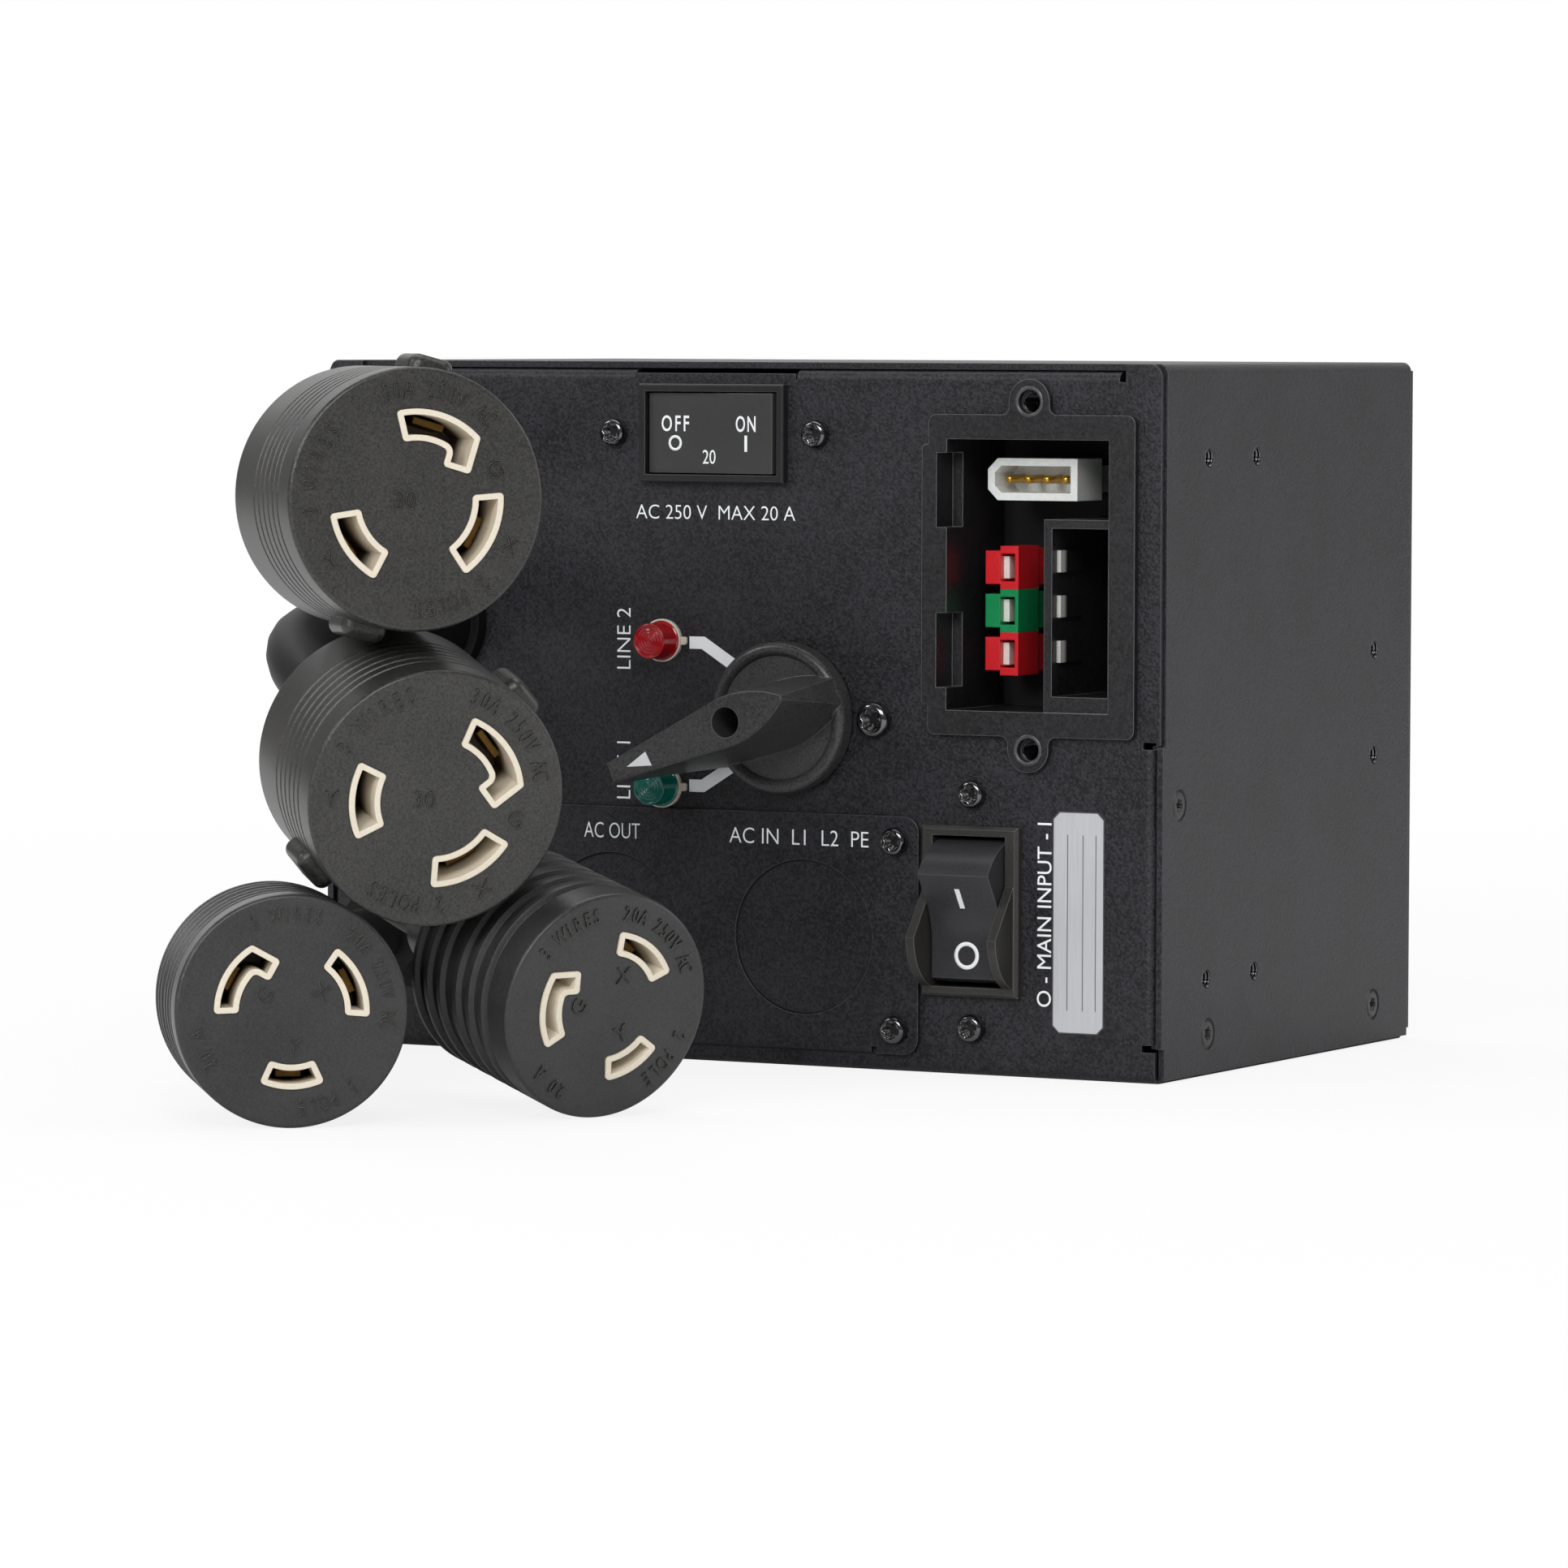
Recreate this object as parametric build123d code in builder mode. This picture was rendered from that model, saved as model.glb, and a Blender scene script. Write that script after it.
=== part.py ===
"""Rack bypass transfer switch: a folded steel box with its front controls and four receptacle pigtails.

Millimetres. The origin is the middle of the box's underside, X to the right seen from the front,
Y from the front panel to the rear, Z up.
"""
import math
import os
from dataclasses import dataclass

from build123d import *

# Box
width = 176.4
depth = 110.6
height = 130.0
sheet = 1.2
bend = 1.8
fit = 0.2
ear_inset = 0.6
fold_depth = 12.0
relief = 1.3
cover_lift = 0.6
upstand = 14.0
upstand_setback = 13.6
ear_width = 6.4
flange_top = 61.2
flange_bottom = 6.4
corner_round = 2.2

# Tapped holes and countersunk screws in the side walls, from the panel's front face and the underside
bracket_hole = 3.6
bracket_from_front = 18.8
bracket_pitch_y = 20.6
bracket_low = 17.9
bracket_pitch_z = 95.0
rail_from_front = 93.0
rail_low = 55.4
rail_pitch = 20.0
side_screw_head = 5.9
side_screw_shank = 3.0
side_screw_length = 6.0
panel_screw_from_front = 7.0
panel_screw_height = 50.3
base_screw_height = 7.8
base_screw_front = 19.6
base_screw_rear = 93.3

# Screws on the front panel
head_diameter = 5.2
head_height = 2.1
screw_shank = 2.9
screw_length = 6.0
screw_clearance = 0.2

# Output breaker, measured from the top edge of the box
breaker_x = -3.9
breaker_below_top = 13.2
breaker_bezel_width = 30.4
breaker_bezel_height = 18.2
breaker_proud = 2.0
breaker_opening_width = 27.8
breaker_opening_height = 15.4
breaker_case_depth = 34.0
breaker_screw_pitch = 42.5
breaker_wall = 0.7
breaker_edge = 0.25
breaker_rock = 3.5
breaker_pivot_depth = 1.6
breaker_dish = 0.3
breaker_rocker_back = 2.6
breaker_rocker_sunk = 0.4
breaker_end_gap = 0.5
breaker_room = 6.0
breaker_blade_pitch = 14.0
fold_gap_margin = 1.6
tab_drop = 0.7
fold_slit = 0.3

# Flat terminal blades at the back of the breaker and the input switch
blade_thick = 0.8
blade_width = 6.3
blade_length = 9.0

# Bypass switch with its turning handle
bypass_from_bezel = 30.0
bypass_z = 64.6
bypass_throw = 45.0
skirt_radius = 14.0
skirt_height = 4.0
skirt_rim = 2.6
skirt_dish = 1.1
skirt_gap = 0.5
grip_height = 23.2
grip_reach = 26.0
grip_tail = 12.5
grip_half_width = 4.6
grip_tip_half = 1.9
grip_tail_half = 0.4
grip_tail_base = 13.7
grip_tail_base_half = 2.7
grip_flare = 1.8
grip_root = 1.0
grip_edge = 0.3
grip_hole = 5.6
grip_floor = 9.4
grip_clear = 0.1
shaft_square = 6.0
shaft_fit = 0.05
shaft_in_handle = 7.4
shaft_depth = 14.0
shaft_hole = 4.8
bypass_block_size = 44.0
bypass_block_depth = 46.0
bypass_block_plate = 6.0
bypass_block_corner = 4.0
bypass_case_inset = 4.0
bypass_bore_depth = 16.0
bypass_tiers = 3
bypass_tier_first = 13.0
bypass_tier_pitch = 11.0
bypass_tab_width = 7.0
bypass_tab_reach = 4.0
bypass_tab_thick = 5.0
bypass_screw_offset = 18.5
bypass_head = 6.6
handle_screw_head = 5.2
handle_screw_shank = 2.9
handle_screw_length = 9.0
handle_screw_clear = 0.5

# Pilot lamps
lamp_from_bypass = 26.0
lamp_rise = 13.6
lens_radius = 3.3
lens_height = 5.8
lens_round = 0.9
lens_stem = 2.7
collar_radius = 4.0
collar_height = 0.9
lamp_body_radius = 3.6
lamp_body_length = 18.0

# Recessed connector bezel, measured from the top edge and the right side of the box
bezel_from_right = 5.2
bezel_width = 41.8
bezel_top_margin = 9.3
bezel_tall = 58.4
bezel_proud = 1.5
bezel_corner = 1.6
bezel_bulge = 1.3
bezel_rim_side = 3.8
bezel_rim_end = 4.5
bezel_right_rim = 5.2
bezel_bulge_margin = 1.0
ear_radius = 4.1
ear_hole = 4.4
ear_reach = 2.4
ear_offset = 0.4
ear_root = 1.5
sleeve_wall = 1.4
sleeve_left_wall = 2.8
sleeve_depth = 22.0
notch_depth = 2.1
notch_tall = 13.6
notch_upper = 7.0
notch_lower = 36.2
notch_in = 5.0
tube_wall = 1.6
tube_right_wall = 0.3
tube_floor_wall = 2.9
tube_width = 13.2
tube_drop = 14.4
tube_set_in = 0.5
back_plate = 1.2
back_plate_corner = 1.5

# Signal plug and stacked power housings inside the bezel
plug_from_left = 4.6
plug_width = 18.2
plug_tall = 7.7
plug_drop = 3.5
plug_set_in = 6.0
plug_length = 10.2
plug_wall = 1.4
plug_corner = 2.0
plug_cavity_depth = 8.0
plug_stem_inset = 1.4
pin_pitch = 3.8
pin_radius = 0.8
pin_length = 6.6
housing_from_left = 3.2
housing_tongue = 3.0
housing_body = 3.7
housing_pitch = 7.9
housing_drop = 19.6
housing_set_in = 8.0
housing_length = 8.4
housing_wall = 0.7
housing_cavity_depth = 6.0
housing_step = 0.9
housing_stem_inset = 0.6
tongue_depth = 1.2
contact_thick = 1.2
contact_inset = 0.5
contact_sunk = 0.2
finger_set_in = 1.0
finger_width = 4.0
finger_thick = 0.8
finger_pitch = 8.2
finger_drop = 7.6
finger_length = 9.0

# Input switch, measured from the underside and the right side of the box
switch_from_right = 38.2
switch_z = 30.1
switch_frame_width = 19.8
switch_frame_height = 31.2
switch_proud = 2.0
switch_opening_width = 14.9
switch_opening_height = 27.7
switch_case_depth = 26.0
switch_well = 18.0
switch_wall = 1.2
switch_blade_pitch_x = 9.0
switch_blade_pitch_z = 10.0
switch_rock = 34.0
switch_pivot_depth = 3.0
switch_end_radius = 13.4
switch_middle = 5.8
switch_heel_turn = 14.0
rocker_side_gap = 0.3
guard_thick = 1.7
guard_proud = 9.2
guard_swell = 1.4
guard_top = 4.7
guard_peak = -4.6
guard_bottom = -14.2
switch_screw_pitch = 42.8
trunnion_radius = 1.2
trunnion_fit = 0.05
trunnion_reach = 0.6

# Terminal cover plate with two knock-outs
plate_gland_gap = 3.8
plate_switch_gap = 0.9
plate_bottom = 3.2
plate_top = 47.0
plate_sheet = 1.0
plate_corner = 3.0
plate_fold_inset = 9.0
plate_screw_inset = 4.6
knockout_diameter = 28.6
knockout_gap = 12.2
knockout_side = 9.4
knockout_height = 24.1
knockout_sunk = 0.45
hatch_side = 8.8
hatch_edge = 6.0

# Terminal block and earth stud behind the cover plate
block_width = 66.0
block_depth = 22.0
block_height = 20.0
block_setback = 24.0
block_switch_gap = 12.1
block_ways = 5
block_rib = 2.0
block_lip = 3.0
block_pocket = 5.0
block_screw = 6.0
block_screw_rise = 2.6
stud_radius = 2.4
stud_height = 12.0
stud_nut = 4.6
stud_nut_height = 3.2
stud_from_rear = 22.0
stud_from_side = 34.0

# Cord glands in a column at the left of the panel
gland_inset = 23.2
gland_pitch = 29.0
gland_low = 23.0
gland_radius = 12.0
gland_flange = 3.0
gland_root_radius = 10.4
gland_nose_radius = 8.6
gland_length = 19.0
gland_thread_radius = 8.0
gland_nut_radius = 11.0
gland_nut_depth = 4.0

# Receptacle connectors, two large and two small, lengths measured back from the face
large_radius = 22.5
large_straight = 34.0
large_length = 47.0
large_cord = 11.0
large_ring = 12.7
large_ring_width = 5.6
large_leg = 5.1
groove_depth = 0.7
groove_width = 0.9
groove_pitch = 2.95
groove_first = 7.0
groove_count = 6
shoulder_step = 1.2
shoulder_depth = 9.0
small_radius = 20.0
small_straight = 34.0
small_length = 56.0
small_cord = 9.8
small_ring = 11.2
small_ring_width = 4.4
small_leg = 4.2
rib_height = 0.9
rib_width = 1.9
rib_places = (9.0, 13.4, 17.8, 23.4, 27.8, 32.2)
small_collar = 6.4
cone_depth = 14.0
neck_wall = 3.0
face_round = 0.7
face_wall = 2.4
shell_wall = 2.8
core_fit = 0.08
slot_depth = 14.0
liner_wall = 1.1
leg_reach = 3.2
slot_corner = 0.8
liner_rise = 0.35
contact_strip = 1.2
contact_below_face = 6.0
lug_turn = 2.0
lug_width = 8.0
lug_length = 11.0
lug_rise = 2.4
lug_behind_face = 10.0
lug_round = 2.0
lug_root = 1.0

# How the stacked connectors lie: the first on the floor, each other one set off from a neighbour
floor_connector_from_left = 80.85
floor_connector_ahead = 142.87
side_gap = 15.25
side_turn = 44.0
stack_gap = 1.2
top_gap = 3.7
floor_gap = 0.06

front_y = -depth / 2
rear_y = depth / 2
block_pitch = block_width / block_ways
tolerance = 0.01
half = width / 2
inner_half = half - sheet - fit
panel_top = height - sheet - fit
FRONT = Plane(origin=(0, front_y, 0), x_dir=(1, 0, 0), z_dir=(0, -1, 0))

os.makedirs("parts", exist_ok=True)


def save(piece, label):
    """Labels a finished piece and writes it as one STEP file."""
    piece.part.label = label
    export_step(piece.part, f"parts/{label}.step")


def at_front(edge):
    """Tells whether an edge lies in the panel's front face."""
    return abs(edge.center().Y - front_y) < tolerance


def screw_heads(points, plane, head, rise, shank, length):
    """Pan-head screws at points of a plane: a domed head on the plane and a shank behind it."""
    with BuildPart() as screws:
        with BuildSketch(plane):
            with Locations(*points):
                Circle(head / 2)
        extrude(amount=rise)
        tops = screws.faces().filter_by(Axis.Y).sort_by(Axis.Y)[: len(points)]
        fillet(tops.edges(), radius=rise * 0.55)
        with BuildSketch(plane):
            with Locations(*points):
                Circle(shank / 2)
        extrude(amount=-length)
    return screws


# Where things sit on the front panel
gland_x = -half + gland_inset
gland_points = [(gland_x, gland_low + i * gland_pitch) for i in range(4)]
bezel_right = half - bezel_from_right
bezel_left = bezel_right - bezel_width
bypass_x = bezel_left - bypass_from_bezel
lamp_x = bypass_x - lamp_from_bypass
switch_x = half - switch_from_right
switch_left = switch_x - switch_frame_width / 2
plate_left = gland_x + gland_radius + plate_gland_gap
plate_right = switch_left - plate_switch_gap
block_x = switch_left - block_switch_gap - block_width / 2
breaker_z = height - breaker_below_top
breaker_screws = [
    (breaker_x - breaker_screw_pitch / 2, breaker_z),
    (breaker_x + breaker_screw_pitch / 2, breaker_z),
]
turn = math.radians(bypass_throw / 2)
bypass_screws = [
    (bypass_x + bypass_screw_offset, bypass_z),
    (bypass_x - bypass_screw_offset * math.cos(turn), bypass_z - bypass_screw_offset * math.sin(turn)),
]
lamp_points = [(lamp_x, bypass_z + lamp_rise), (lamp_x, bypass_z - lamp_rise)]
bezel_top = height - bezel_top_margin
bezel_bottom = bezel_top - bezel_tall
bezel_middle = (bezel_left + bezel_right) / 2
opening_left = bezel_left + bezel_rim_side
opening_right = bezel_right - bezel_right_rim
opening_top = bezel_top - bezel_rim_end
opening_bottom = bezel_bottom + bezel_rim_end
tube_left = opening_right - tube_width
plug_left = opening_left + plug_from_left
housing_left = opening_left + housing_from_left
sleeve_left = opening_left - sleeve_left_wall
sleeve_right = opening_right + sleeve_wall
sleeve_top = opening_top + sleeve_wall
sleeve_bottom = opening_bottom - sleeve_wall
ear_x = bezel_middle - ear_offset
bezel_ears = [(ear_x, bezel_top + ear_reach), (ear_x, bezel_bottom - ear_reach)]
switch_screws = [
    (switch_x, switch_z + switch_screw_pitch / 2),
    (switch_x, switch_z - switch_screw_pitch / 2),
]
plate_middle = (plate_left + plate_right) / 2
plate_screws = [
    (x, z)
    for x in (plate_left + plate_screw_inset, plate_right - plate_screw_inset)
    for z in (plate_bottom + plate_screw_inset, plate_top - plate_screw_inset)
]
knockout_pitch = knockout_diameter + knockout_gap
knockout_room = plate_right - plate_left - 2 * knockout_side - knockout_diameter
knockout_count = 1 + math.floor(knockout_room / knockout_pitch)
knockouts = [
    (plate_middle + (i - (knockout_count - 1) / 2) * knockout_pitch, knockout_height)
    for i in range(knockout_count)
]
side_screws = [
    (front_y + panel_screw_from_front, panel_screw_height),
    (front_y + base_screw_front, base_screw_height),
    (front_y + base_screw_rear, base_screw_height),
]
bracket_holes = [
    (front_y + bracket_from_front + i * bracket_pitch_y, bracket_low + j * bracket_pitch_z)
    for i in range(2)
    for j in range(2)
]
rail_holes = [(front_y + rail_from_front, rail_low + i * rail_pitch) for i in range(2)]
fold_left = breaker_x - breaker_bezel_width / 2 - fold_gap_margin
fold_right = breaker_x + breaker_bezel_width / 2 + fold_gap_margin
ear_left_edge = inner_half - ear_width

# Chassis tray: base, front panel and rear wall are one sheet, with flanges turned in at the edges
with BuildPart() as chassis_tray:
    with BuildSketch(Plane.YZ):
        with BuildLine():
            FilletPolyline(
                (front_y, panel_top),
                (front_y, 0),
                (rear_y, 0),
                (rear_y, panel_top),
                radius=bend,
            )
            offset(amount=sheet, side=Side.LEFT)
        make_face()
    extrude(amount=inner_half, both=True)
    # ears at both upper corners, and the straight edge between them
    with BuildSketch(FRONT):
        with Locations((0, (flange_top + height) / 2)):
            ears = Rectangle(2 * (half - ear_inset), height - flange_top - fit)
            fillet(ears.vertices().group_by(Axis.Y)[-1], radius=corner_round)
        with Locations((0, height)):
            Rectangle(2 * ear_left_edge, 2 * (height - panel_top), mode=Mode.SUBTRACT)
    extrude(amount=-sheet)
    # the flat stretch of edge above the breaker
    with BuildSketch(FRONT):
        with Locations(((fold_left + fold_right) / 2, panel_top)):
            Rectangle(fold_right - fold_left, 2 * tab_drop)
    extrude(amount=-sheet, mode=Mode.SUBTRACT)
    # top edge folded back under the cover, left and right of the breaker
    left_fold = (relief - ear_left_edge, fold_left - fold_slit)
    right_fold = (fold_right + fold_slit, ear_left_edge - relief)
    for low, high in (left_fold, right_fold):
        with BuildSketch(Plane.XY.offset(panel_top)):
            with Locations(((low + high) / 2, front_y + fold_depth / 2)):
                Rectangle(high - low, fold_depth)
        extrude(amount=-sheet)
    # relief slots at the ends of the folds: wide beside the ears, a slit beside the breaker
    with BuildSketch(FRONT):
        for x, slot in (
            (relief / 2 - ear_left_edge, relief),
            (fold_left - fold_slit / 2, fold_slit),
            (fold_right + fold_slit / 2, fold_slit),
            (ear_left_edge - relief / 2, relief),
        ):
            with Locations((x, panel_top)):
                Rectangle(slot, 2 * relief + sheet)
    extrude(amount=-sheet, mode=Mode.SUBTRACT)
    across = chassis_tray.edges().filter_by(Axis.X)
    folds = [e for e in across if at_front(e) and abs(e.center().Z - panel_top) < tolerance]
    fillet(folds, radius=bend)
    # low side flanges of the panel, under the ears, and the upstands of the base
    for side in (-1, 1):
        with BuildSketch(Plane.XY.offset(flange_bottom)):
            with Locations((side * (inner_half - sheet / 2), front_y + fold_depth / 2)):
                Rectangle(sheet, fold_depth)
        extrude(amount=flange_top - flange_bottom)
        with BuildSketch(Plane.XY):
            with Locations((side * (inner_half - sheet / 2), 0)):
                Rectangle(sheet, depth - 2 * upstand_setback)
        extrude(amount=upstand)
        with BuildSketch(FRONT):
            for z in (flange_bottom, flange_top):
                with Locations((side * (inner_half - relief), z)):
                    Rectangle(2 * relief, relief)
        extrude(amount=-sheet, mode=Mode.SUBTRACT)
    upright = chassis_tray.edges().filter_by(Axis.Z).filter_by_position(Axis.Z, flange_bottom, flange_top)
    outermost = [e for e in upright if at_front(e) and abs(abs(e.center().X) - inner_half) < tolerance]
    fillet(outermost, radius=bend)
    # rear wall, wide enough to cover the side walls' rear edges
    with BuildSketch(Plane.XZ.offset(-rear_y)):
        with Locations((0, (panel_top + bend) / 2)):
            Rectangle(2 * (half - fit), panel_top - bend - 2 * fit)
    extrude(amount=sheet)
    # cut-outs in the panel
    with BuildSketch(FRONT):
        with Locations((breaker_x, breaker_z)):
            Rectangle(
                breaker_opening_width + 2 * (breaker_wall + fit),
                breaker_opening_height + 2 * (breaker_wall + fit),
            )
        with Locations((bypass_x, bypass_z)):
            Circle(shaft_hole)
        with Locations(*lamp_points):
            Circle(lens_stem + fit)
        with Locations(((sleeve_left + sleeve_right) / 2, (sleeve_top + sleeve_bottom) / 2)):
            Rectangle(sleeve_right - sleeve_left + 2 * fit, sleeve_top - sleeve_bottom + 2 * fit)
        with Locations(*bezel_ears):
            Circle(ear_hole / 2 - fit)
        with Locations((switch_x, switch_z)):
            Rectangle(
                switch_opening_width + 2 * (switch_wall + fit),
                switch_opening_height + 2 * (switch_wall + fit),
            )
        with Locations((plate_middle, (plate_bottom + plate_top) / 2)):
            Rectangle(
                plate_right - plate_left - 2 * hatch_side,
                plate_top - plate_bottom - 2 * hatch_edge,
            )
        with Locations(*gland_points):
            Circle(gland_thread_radius + fit)
        with Locations(*breaker_screws, *bypass_screws, *switch_screws, *plate_screws):
            Circle((screw_shank + screw_clearance) / 2)
    extrude(amount=-sheet, mode=Mode.SUBTRACT)
    # holes for the countersunk screws in the flange and the upstand of both sides
    with BuildSketch(Plane.YZ):
        with Locations(*side_screws):
            Circle((side_screw_shank + screw_clearance) / 2)
    extrude(amount=half, both=True, mode=Mode.SUBTRACT)
save(chassis_tray, "chassis_tray")

# Top cover: top and both side walls, one sheet bent into an inverted U
cover_front = front_y + sheet + fit / 2
cover_rear = rear_y - sheet - fit / 2
with BuildPart() as top_cover:
    with BuildSketch(Plane.XZ.offset(-cover_rear)):
        with BuildLine():
            FilletPolyline(
                (-half, cover_lift),
                (-half, height),
                (half, height),
                (half, cover_lift),
                radius=bend,
            )
            offset(amount=sheet, side=Side.RIGHT)
        make_face()
    extrude(amount=cover_rear - cover_front)
    for side in (-1, 1):
        with BuildSketch(Plane.XY.offset(flange_bottom)):
            with Locations((side * (half - sheet / 2), (front_y + cover_front) / 2 + fit / 2)):
                Rectangle(sheet, cover_front - front_y)
        extrude(amount=flange_top - flange_bottom - fit)
    with BuildSketch(Plane.YZ):
        with Locations(*bracket_holes, *rail_holes):
            Circle(bracket_hole / 2)
        with Locations(*side_screws):
            Circle((side_screw_shank + screw_clearance) / 2)
    extrude(amount=half, both=True, mode=Mode.SUBTRACT)
    for side in (-1, 1):
        wall = Plane(origin=(side * half, 0, 0), x_dir=(0, 1, 0), z_dir=(side, 0, 0))
        with BuildSketch(wall):
            with Locations(*[(y, side * z) for y, z in side_screws]):
                Circle(side_screw_head / 2 + fit / 2)
        extrude(amount=-sheet, taper=45 * 0.98, mode=Mode.SUBTRACT)
save(top_cover, "top_cover")

with BuildPart() as cover_side_screws:
    for side in (-1, 1):
        wall = Plane(origin=(side * half, 0, 0), x_dir=(0, 1, 0), z_dir=(side, 0, 0))
        spots = [(y, side * z) for y, z in side_screws]
        with BuildSketch(wall):
            with Locations(*spots):
                Circle(side_screw_head / 2)
        extrude(amount=-sheet, taper=45 * 0.98)
        with BuildSketch(wall):
            with Locations(*spots):
                Circle(side_screw_shank / 2 - fit / 2)
        extrude(amount=-side_screw_length)
save(cover_side_screws, "cover_side_screws")

# Terminal cover plate with its turned-in lower edge and two knock-outs
with BuildPart() as terminal_cover_plate:
    with BuildSketch(FRONT):
        with Locations((plate_middle, (plate_bottom + plate_top) / 2)):
            RectangleRounded(plate_right - plate_left, plate_top - plate_bottom, plate_corner)
        with Locations(*plate_screws):
            Circle((screw_shank + screw_clearance) / 2, mode=Mode.SUBTRACT)
        for x in (plate_left + plate_fold_inset, plate_right - plate_fold_inset):
            with Locations((x, plate_bottom)):
                Rectangle(relief, 2 * relief, mode=Mode.SUBTRACT)
    extrude(amount=plate_sheet)
    # each knock-out is a disc pressed part of the way through the sheet
    with BuildSketch(FRONT.offset(plate_sheet)):
        with Locations(*knockouts):
            Circle(knockout_diameter / 2)
    extrude(amount=-knockout_sunk, mode=Mode.SUBTRACT)
    with BuildSketch(FRONT):
        with Locations(*knockouts):
            Circle(knockout_diameter / 2)
    extrude(amount=-knockout_sunk)
    plate_front = terminal_cover_plate.faces().sort_by(Axis.Y)[0]
    lower = plate_front.edges().filter_by(Axis.X).sort_by(Axis.Z)[:3]
    fillet(lower.sort_by(SortBy.LENGTH)[-1], radius=plate_sheet * 0.9)
save(terminal_cover_plate, "terminal_cover_plate")

PLATE_FACE = FRONT.offset(plate_sheet)
save(
    screw_heads(plate_screws, PLATE_FACE, head_diameter, head_height, screw_shank, screw_length),
    "terminal_cover_screws",
)
save(
    screw_heads(breaker_screws, FRONT, head_diameter, head_height, screw_shank, screw_length),
    "breaker_screws",
)
save(
    screw_heads(switch_screws, FRONT, head_diameter, head_height, screw_shank, screw_length),
    "switch_screws",
)
save(
    screw_heads(bypass_screws, FRONT, bypass_head, head_height, screw_shank, screw_length),
    "bypass_switch_screws",
)

# Output breaker: a bezel and case in one moulding, with a rocker on upright trunnions
breaker_pivot = (breaker_x, front_y + breaker_pivot_depth, breaker_z)
rocker_half = breaker_opening_width / 2 - breaker_end_gap
rocker_tall = breaker_opening_height - 2 * rocker_side_gap
with BuildPart() as breaker_body:
    with BuildSketch(FRONT):
        with Locations((breaker_x, breaker_z)):
            Rectangle(breaker_bezel_width, breaker_bezel_height)
    extrude(amount=breaker_proud)
    rim = breaker_body.faces().sort_by(Axis.Y)[0].edges()
    chamfer(rim, length=breaker_edge)
    with BuildSketch(FRONT):
        with Locations((breaker_x, breaker_z)):
            Rectangle(breaker_opening_width + 2 * breaker_wall, breaker_opening_height + 2 * breaker_wall)
    extrude(amount=-breaker_case_depth)
    with BuildSketch(FRONT.offset(breaker_proud)):
        with Locations((breaker_x, breaker_z)):
            Rectangle(breaker_opening_width, breaker_opening_height)
    extrude(amount=-breaker_proud - breaker_pivot_depth - breaker_room, mode=Mode.SUBTRACT)
    with BuildSketch(Plane(origin=breaker_pivot, x_dir=(1, 0, 0), z_dir=(0, 0, 1))):
        Circle(trunnion_radius + trunnion_fit)
    extrude(amount=breaker_opening_height / 2 + breaker_wall, both=True, mode=Mode.SUBTRACT)
save(breaker_body, "breaker_body")

breaker_tilt = math.radians(breaker_rock)
ROCKER_OFF = Plane(
    origin=breaker_pivot,
    x_dir=(math.cos(breaker_tilt), -math.sin(breaker_tilt), 0),
    z_dir=(0, 0, 1),
)
rocker_front = -breaker_pivot_depth - breaker_proud + breaker_rocker_sunk
with BuildPart() as breaker_rocker:
    with BuildSketch(ROCKER_OFF):
        with BuildLine():
            Polyline(
                (-rocker_half, rocker_front),
                (0, rocker_front + breaker_dish),
                (rocker_half, rocker_front),
                (rocker_half, 0),
                (rocker_half * 0.6, breaker_rocker_back),
                (-rocker_half * 0.6, breaker_rocker_back),
                (-rocker_half, 0),
                close=True,
            )
        make_face()
    extrude(amount=rocker_tall / 2, both=True)
    with BuildSketch(ROCKER_OFF):
        Circle(trunnion_radius)
    extrude(amount=rocker_tall / 2 + trunnion_reach, both=True)
save(breaker_rocker, "breaker_rocker")

BREAKER_BACK = FRONT.offset(-breaker_case_depth)
with BuildPart() as breaker_terminals:
    with BuildSketch(BREAKER_BACK):
        with Locations((breaker_x, breaker_z)):
            with GridLocations(breaker_blade_pitch, 0, 2, 1):
                Rectangle(blade_thick, blade_width)
    extrude(amount=-blade_length)
save(breaker_terminals, "breaker_terminals")

# Bypass switch: contact block behind the panel, square shaft, skirted handle and its screw
bypass_case = bypass_block_size - 2 * bypass_case_inset
with BuildPart() as bypass_switch_block:
    with BuildSketch(FRONT.offset(-sheet)):
        with Locations((bypass_x, bypass_z)):
            RectangleRounded(bypass_block_size, bypass_block_size, bypass_block_corner)
    extrude(amount=-bypass_block_plate)
    with BuildSketch(FRONT.offset(-sheet - bypass_block_plate)):
        with Locations((bypass_x, bypass_z)):
            RectangleRounded(bypass_case, bypass_case, bypass_block_corner)
    extrude(amount=bypass_block_plate - bypass_block_depth)
    with BuildSketch(FRONT.offset(-sheet)):
        with Locations((bypass_x, bypass_z)):
            Circle(shaft_square / 2 + shaft_fit)
        with Locations(*bypass_screws):
            Circle((screw_shank + screw_clearance) / 2)
    extrude(amount=-bypass_bore_depth, mode=Mode.SUBTRACT)
save(bypass_switch_block, "bypass_switch_block")

with BuildPart() as bypass_terminals:
    for tier in range(bypass_tiers):
        tier_depth = sheet + bypass_tier_first + tier * bypass_tier_pitch
        with BuildSketch(FRONT.offset(-tier_depth)):
            with Locations((bypass_x, bypass_z)):
                with GridLocations(0, bypass_case + bypass_tab_reach, 1, 2):
                    Rectangle(bypass_tab_width, bypass_tab_reach)
        extrude(amount=-bypass_tab_thick)
save(bypass_terminals, "bypass_terminals")

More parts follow.
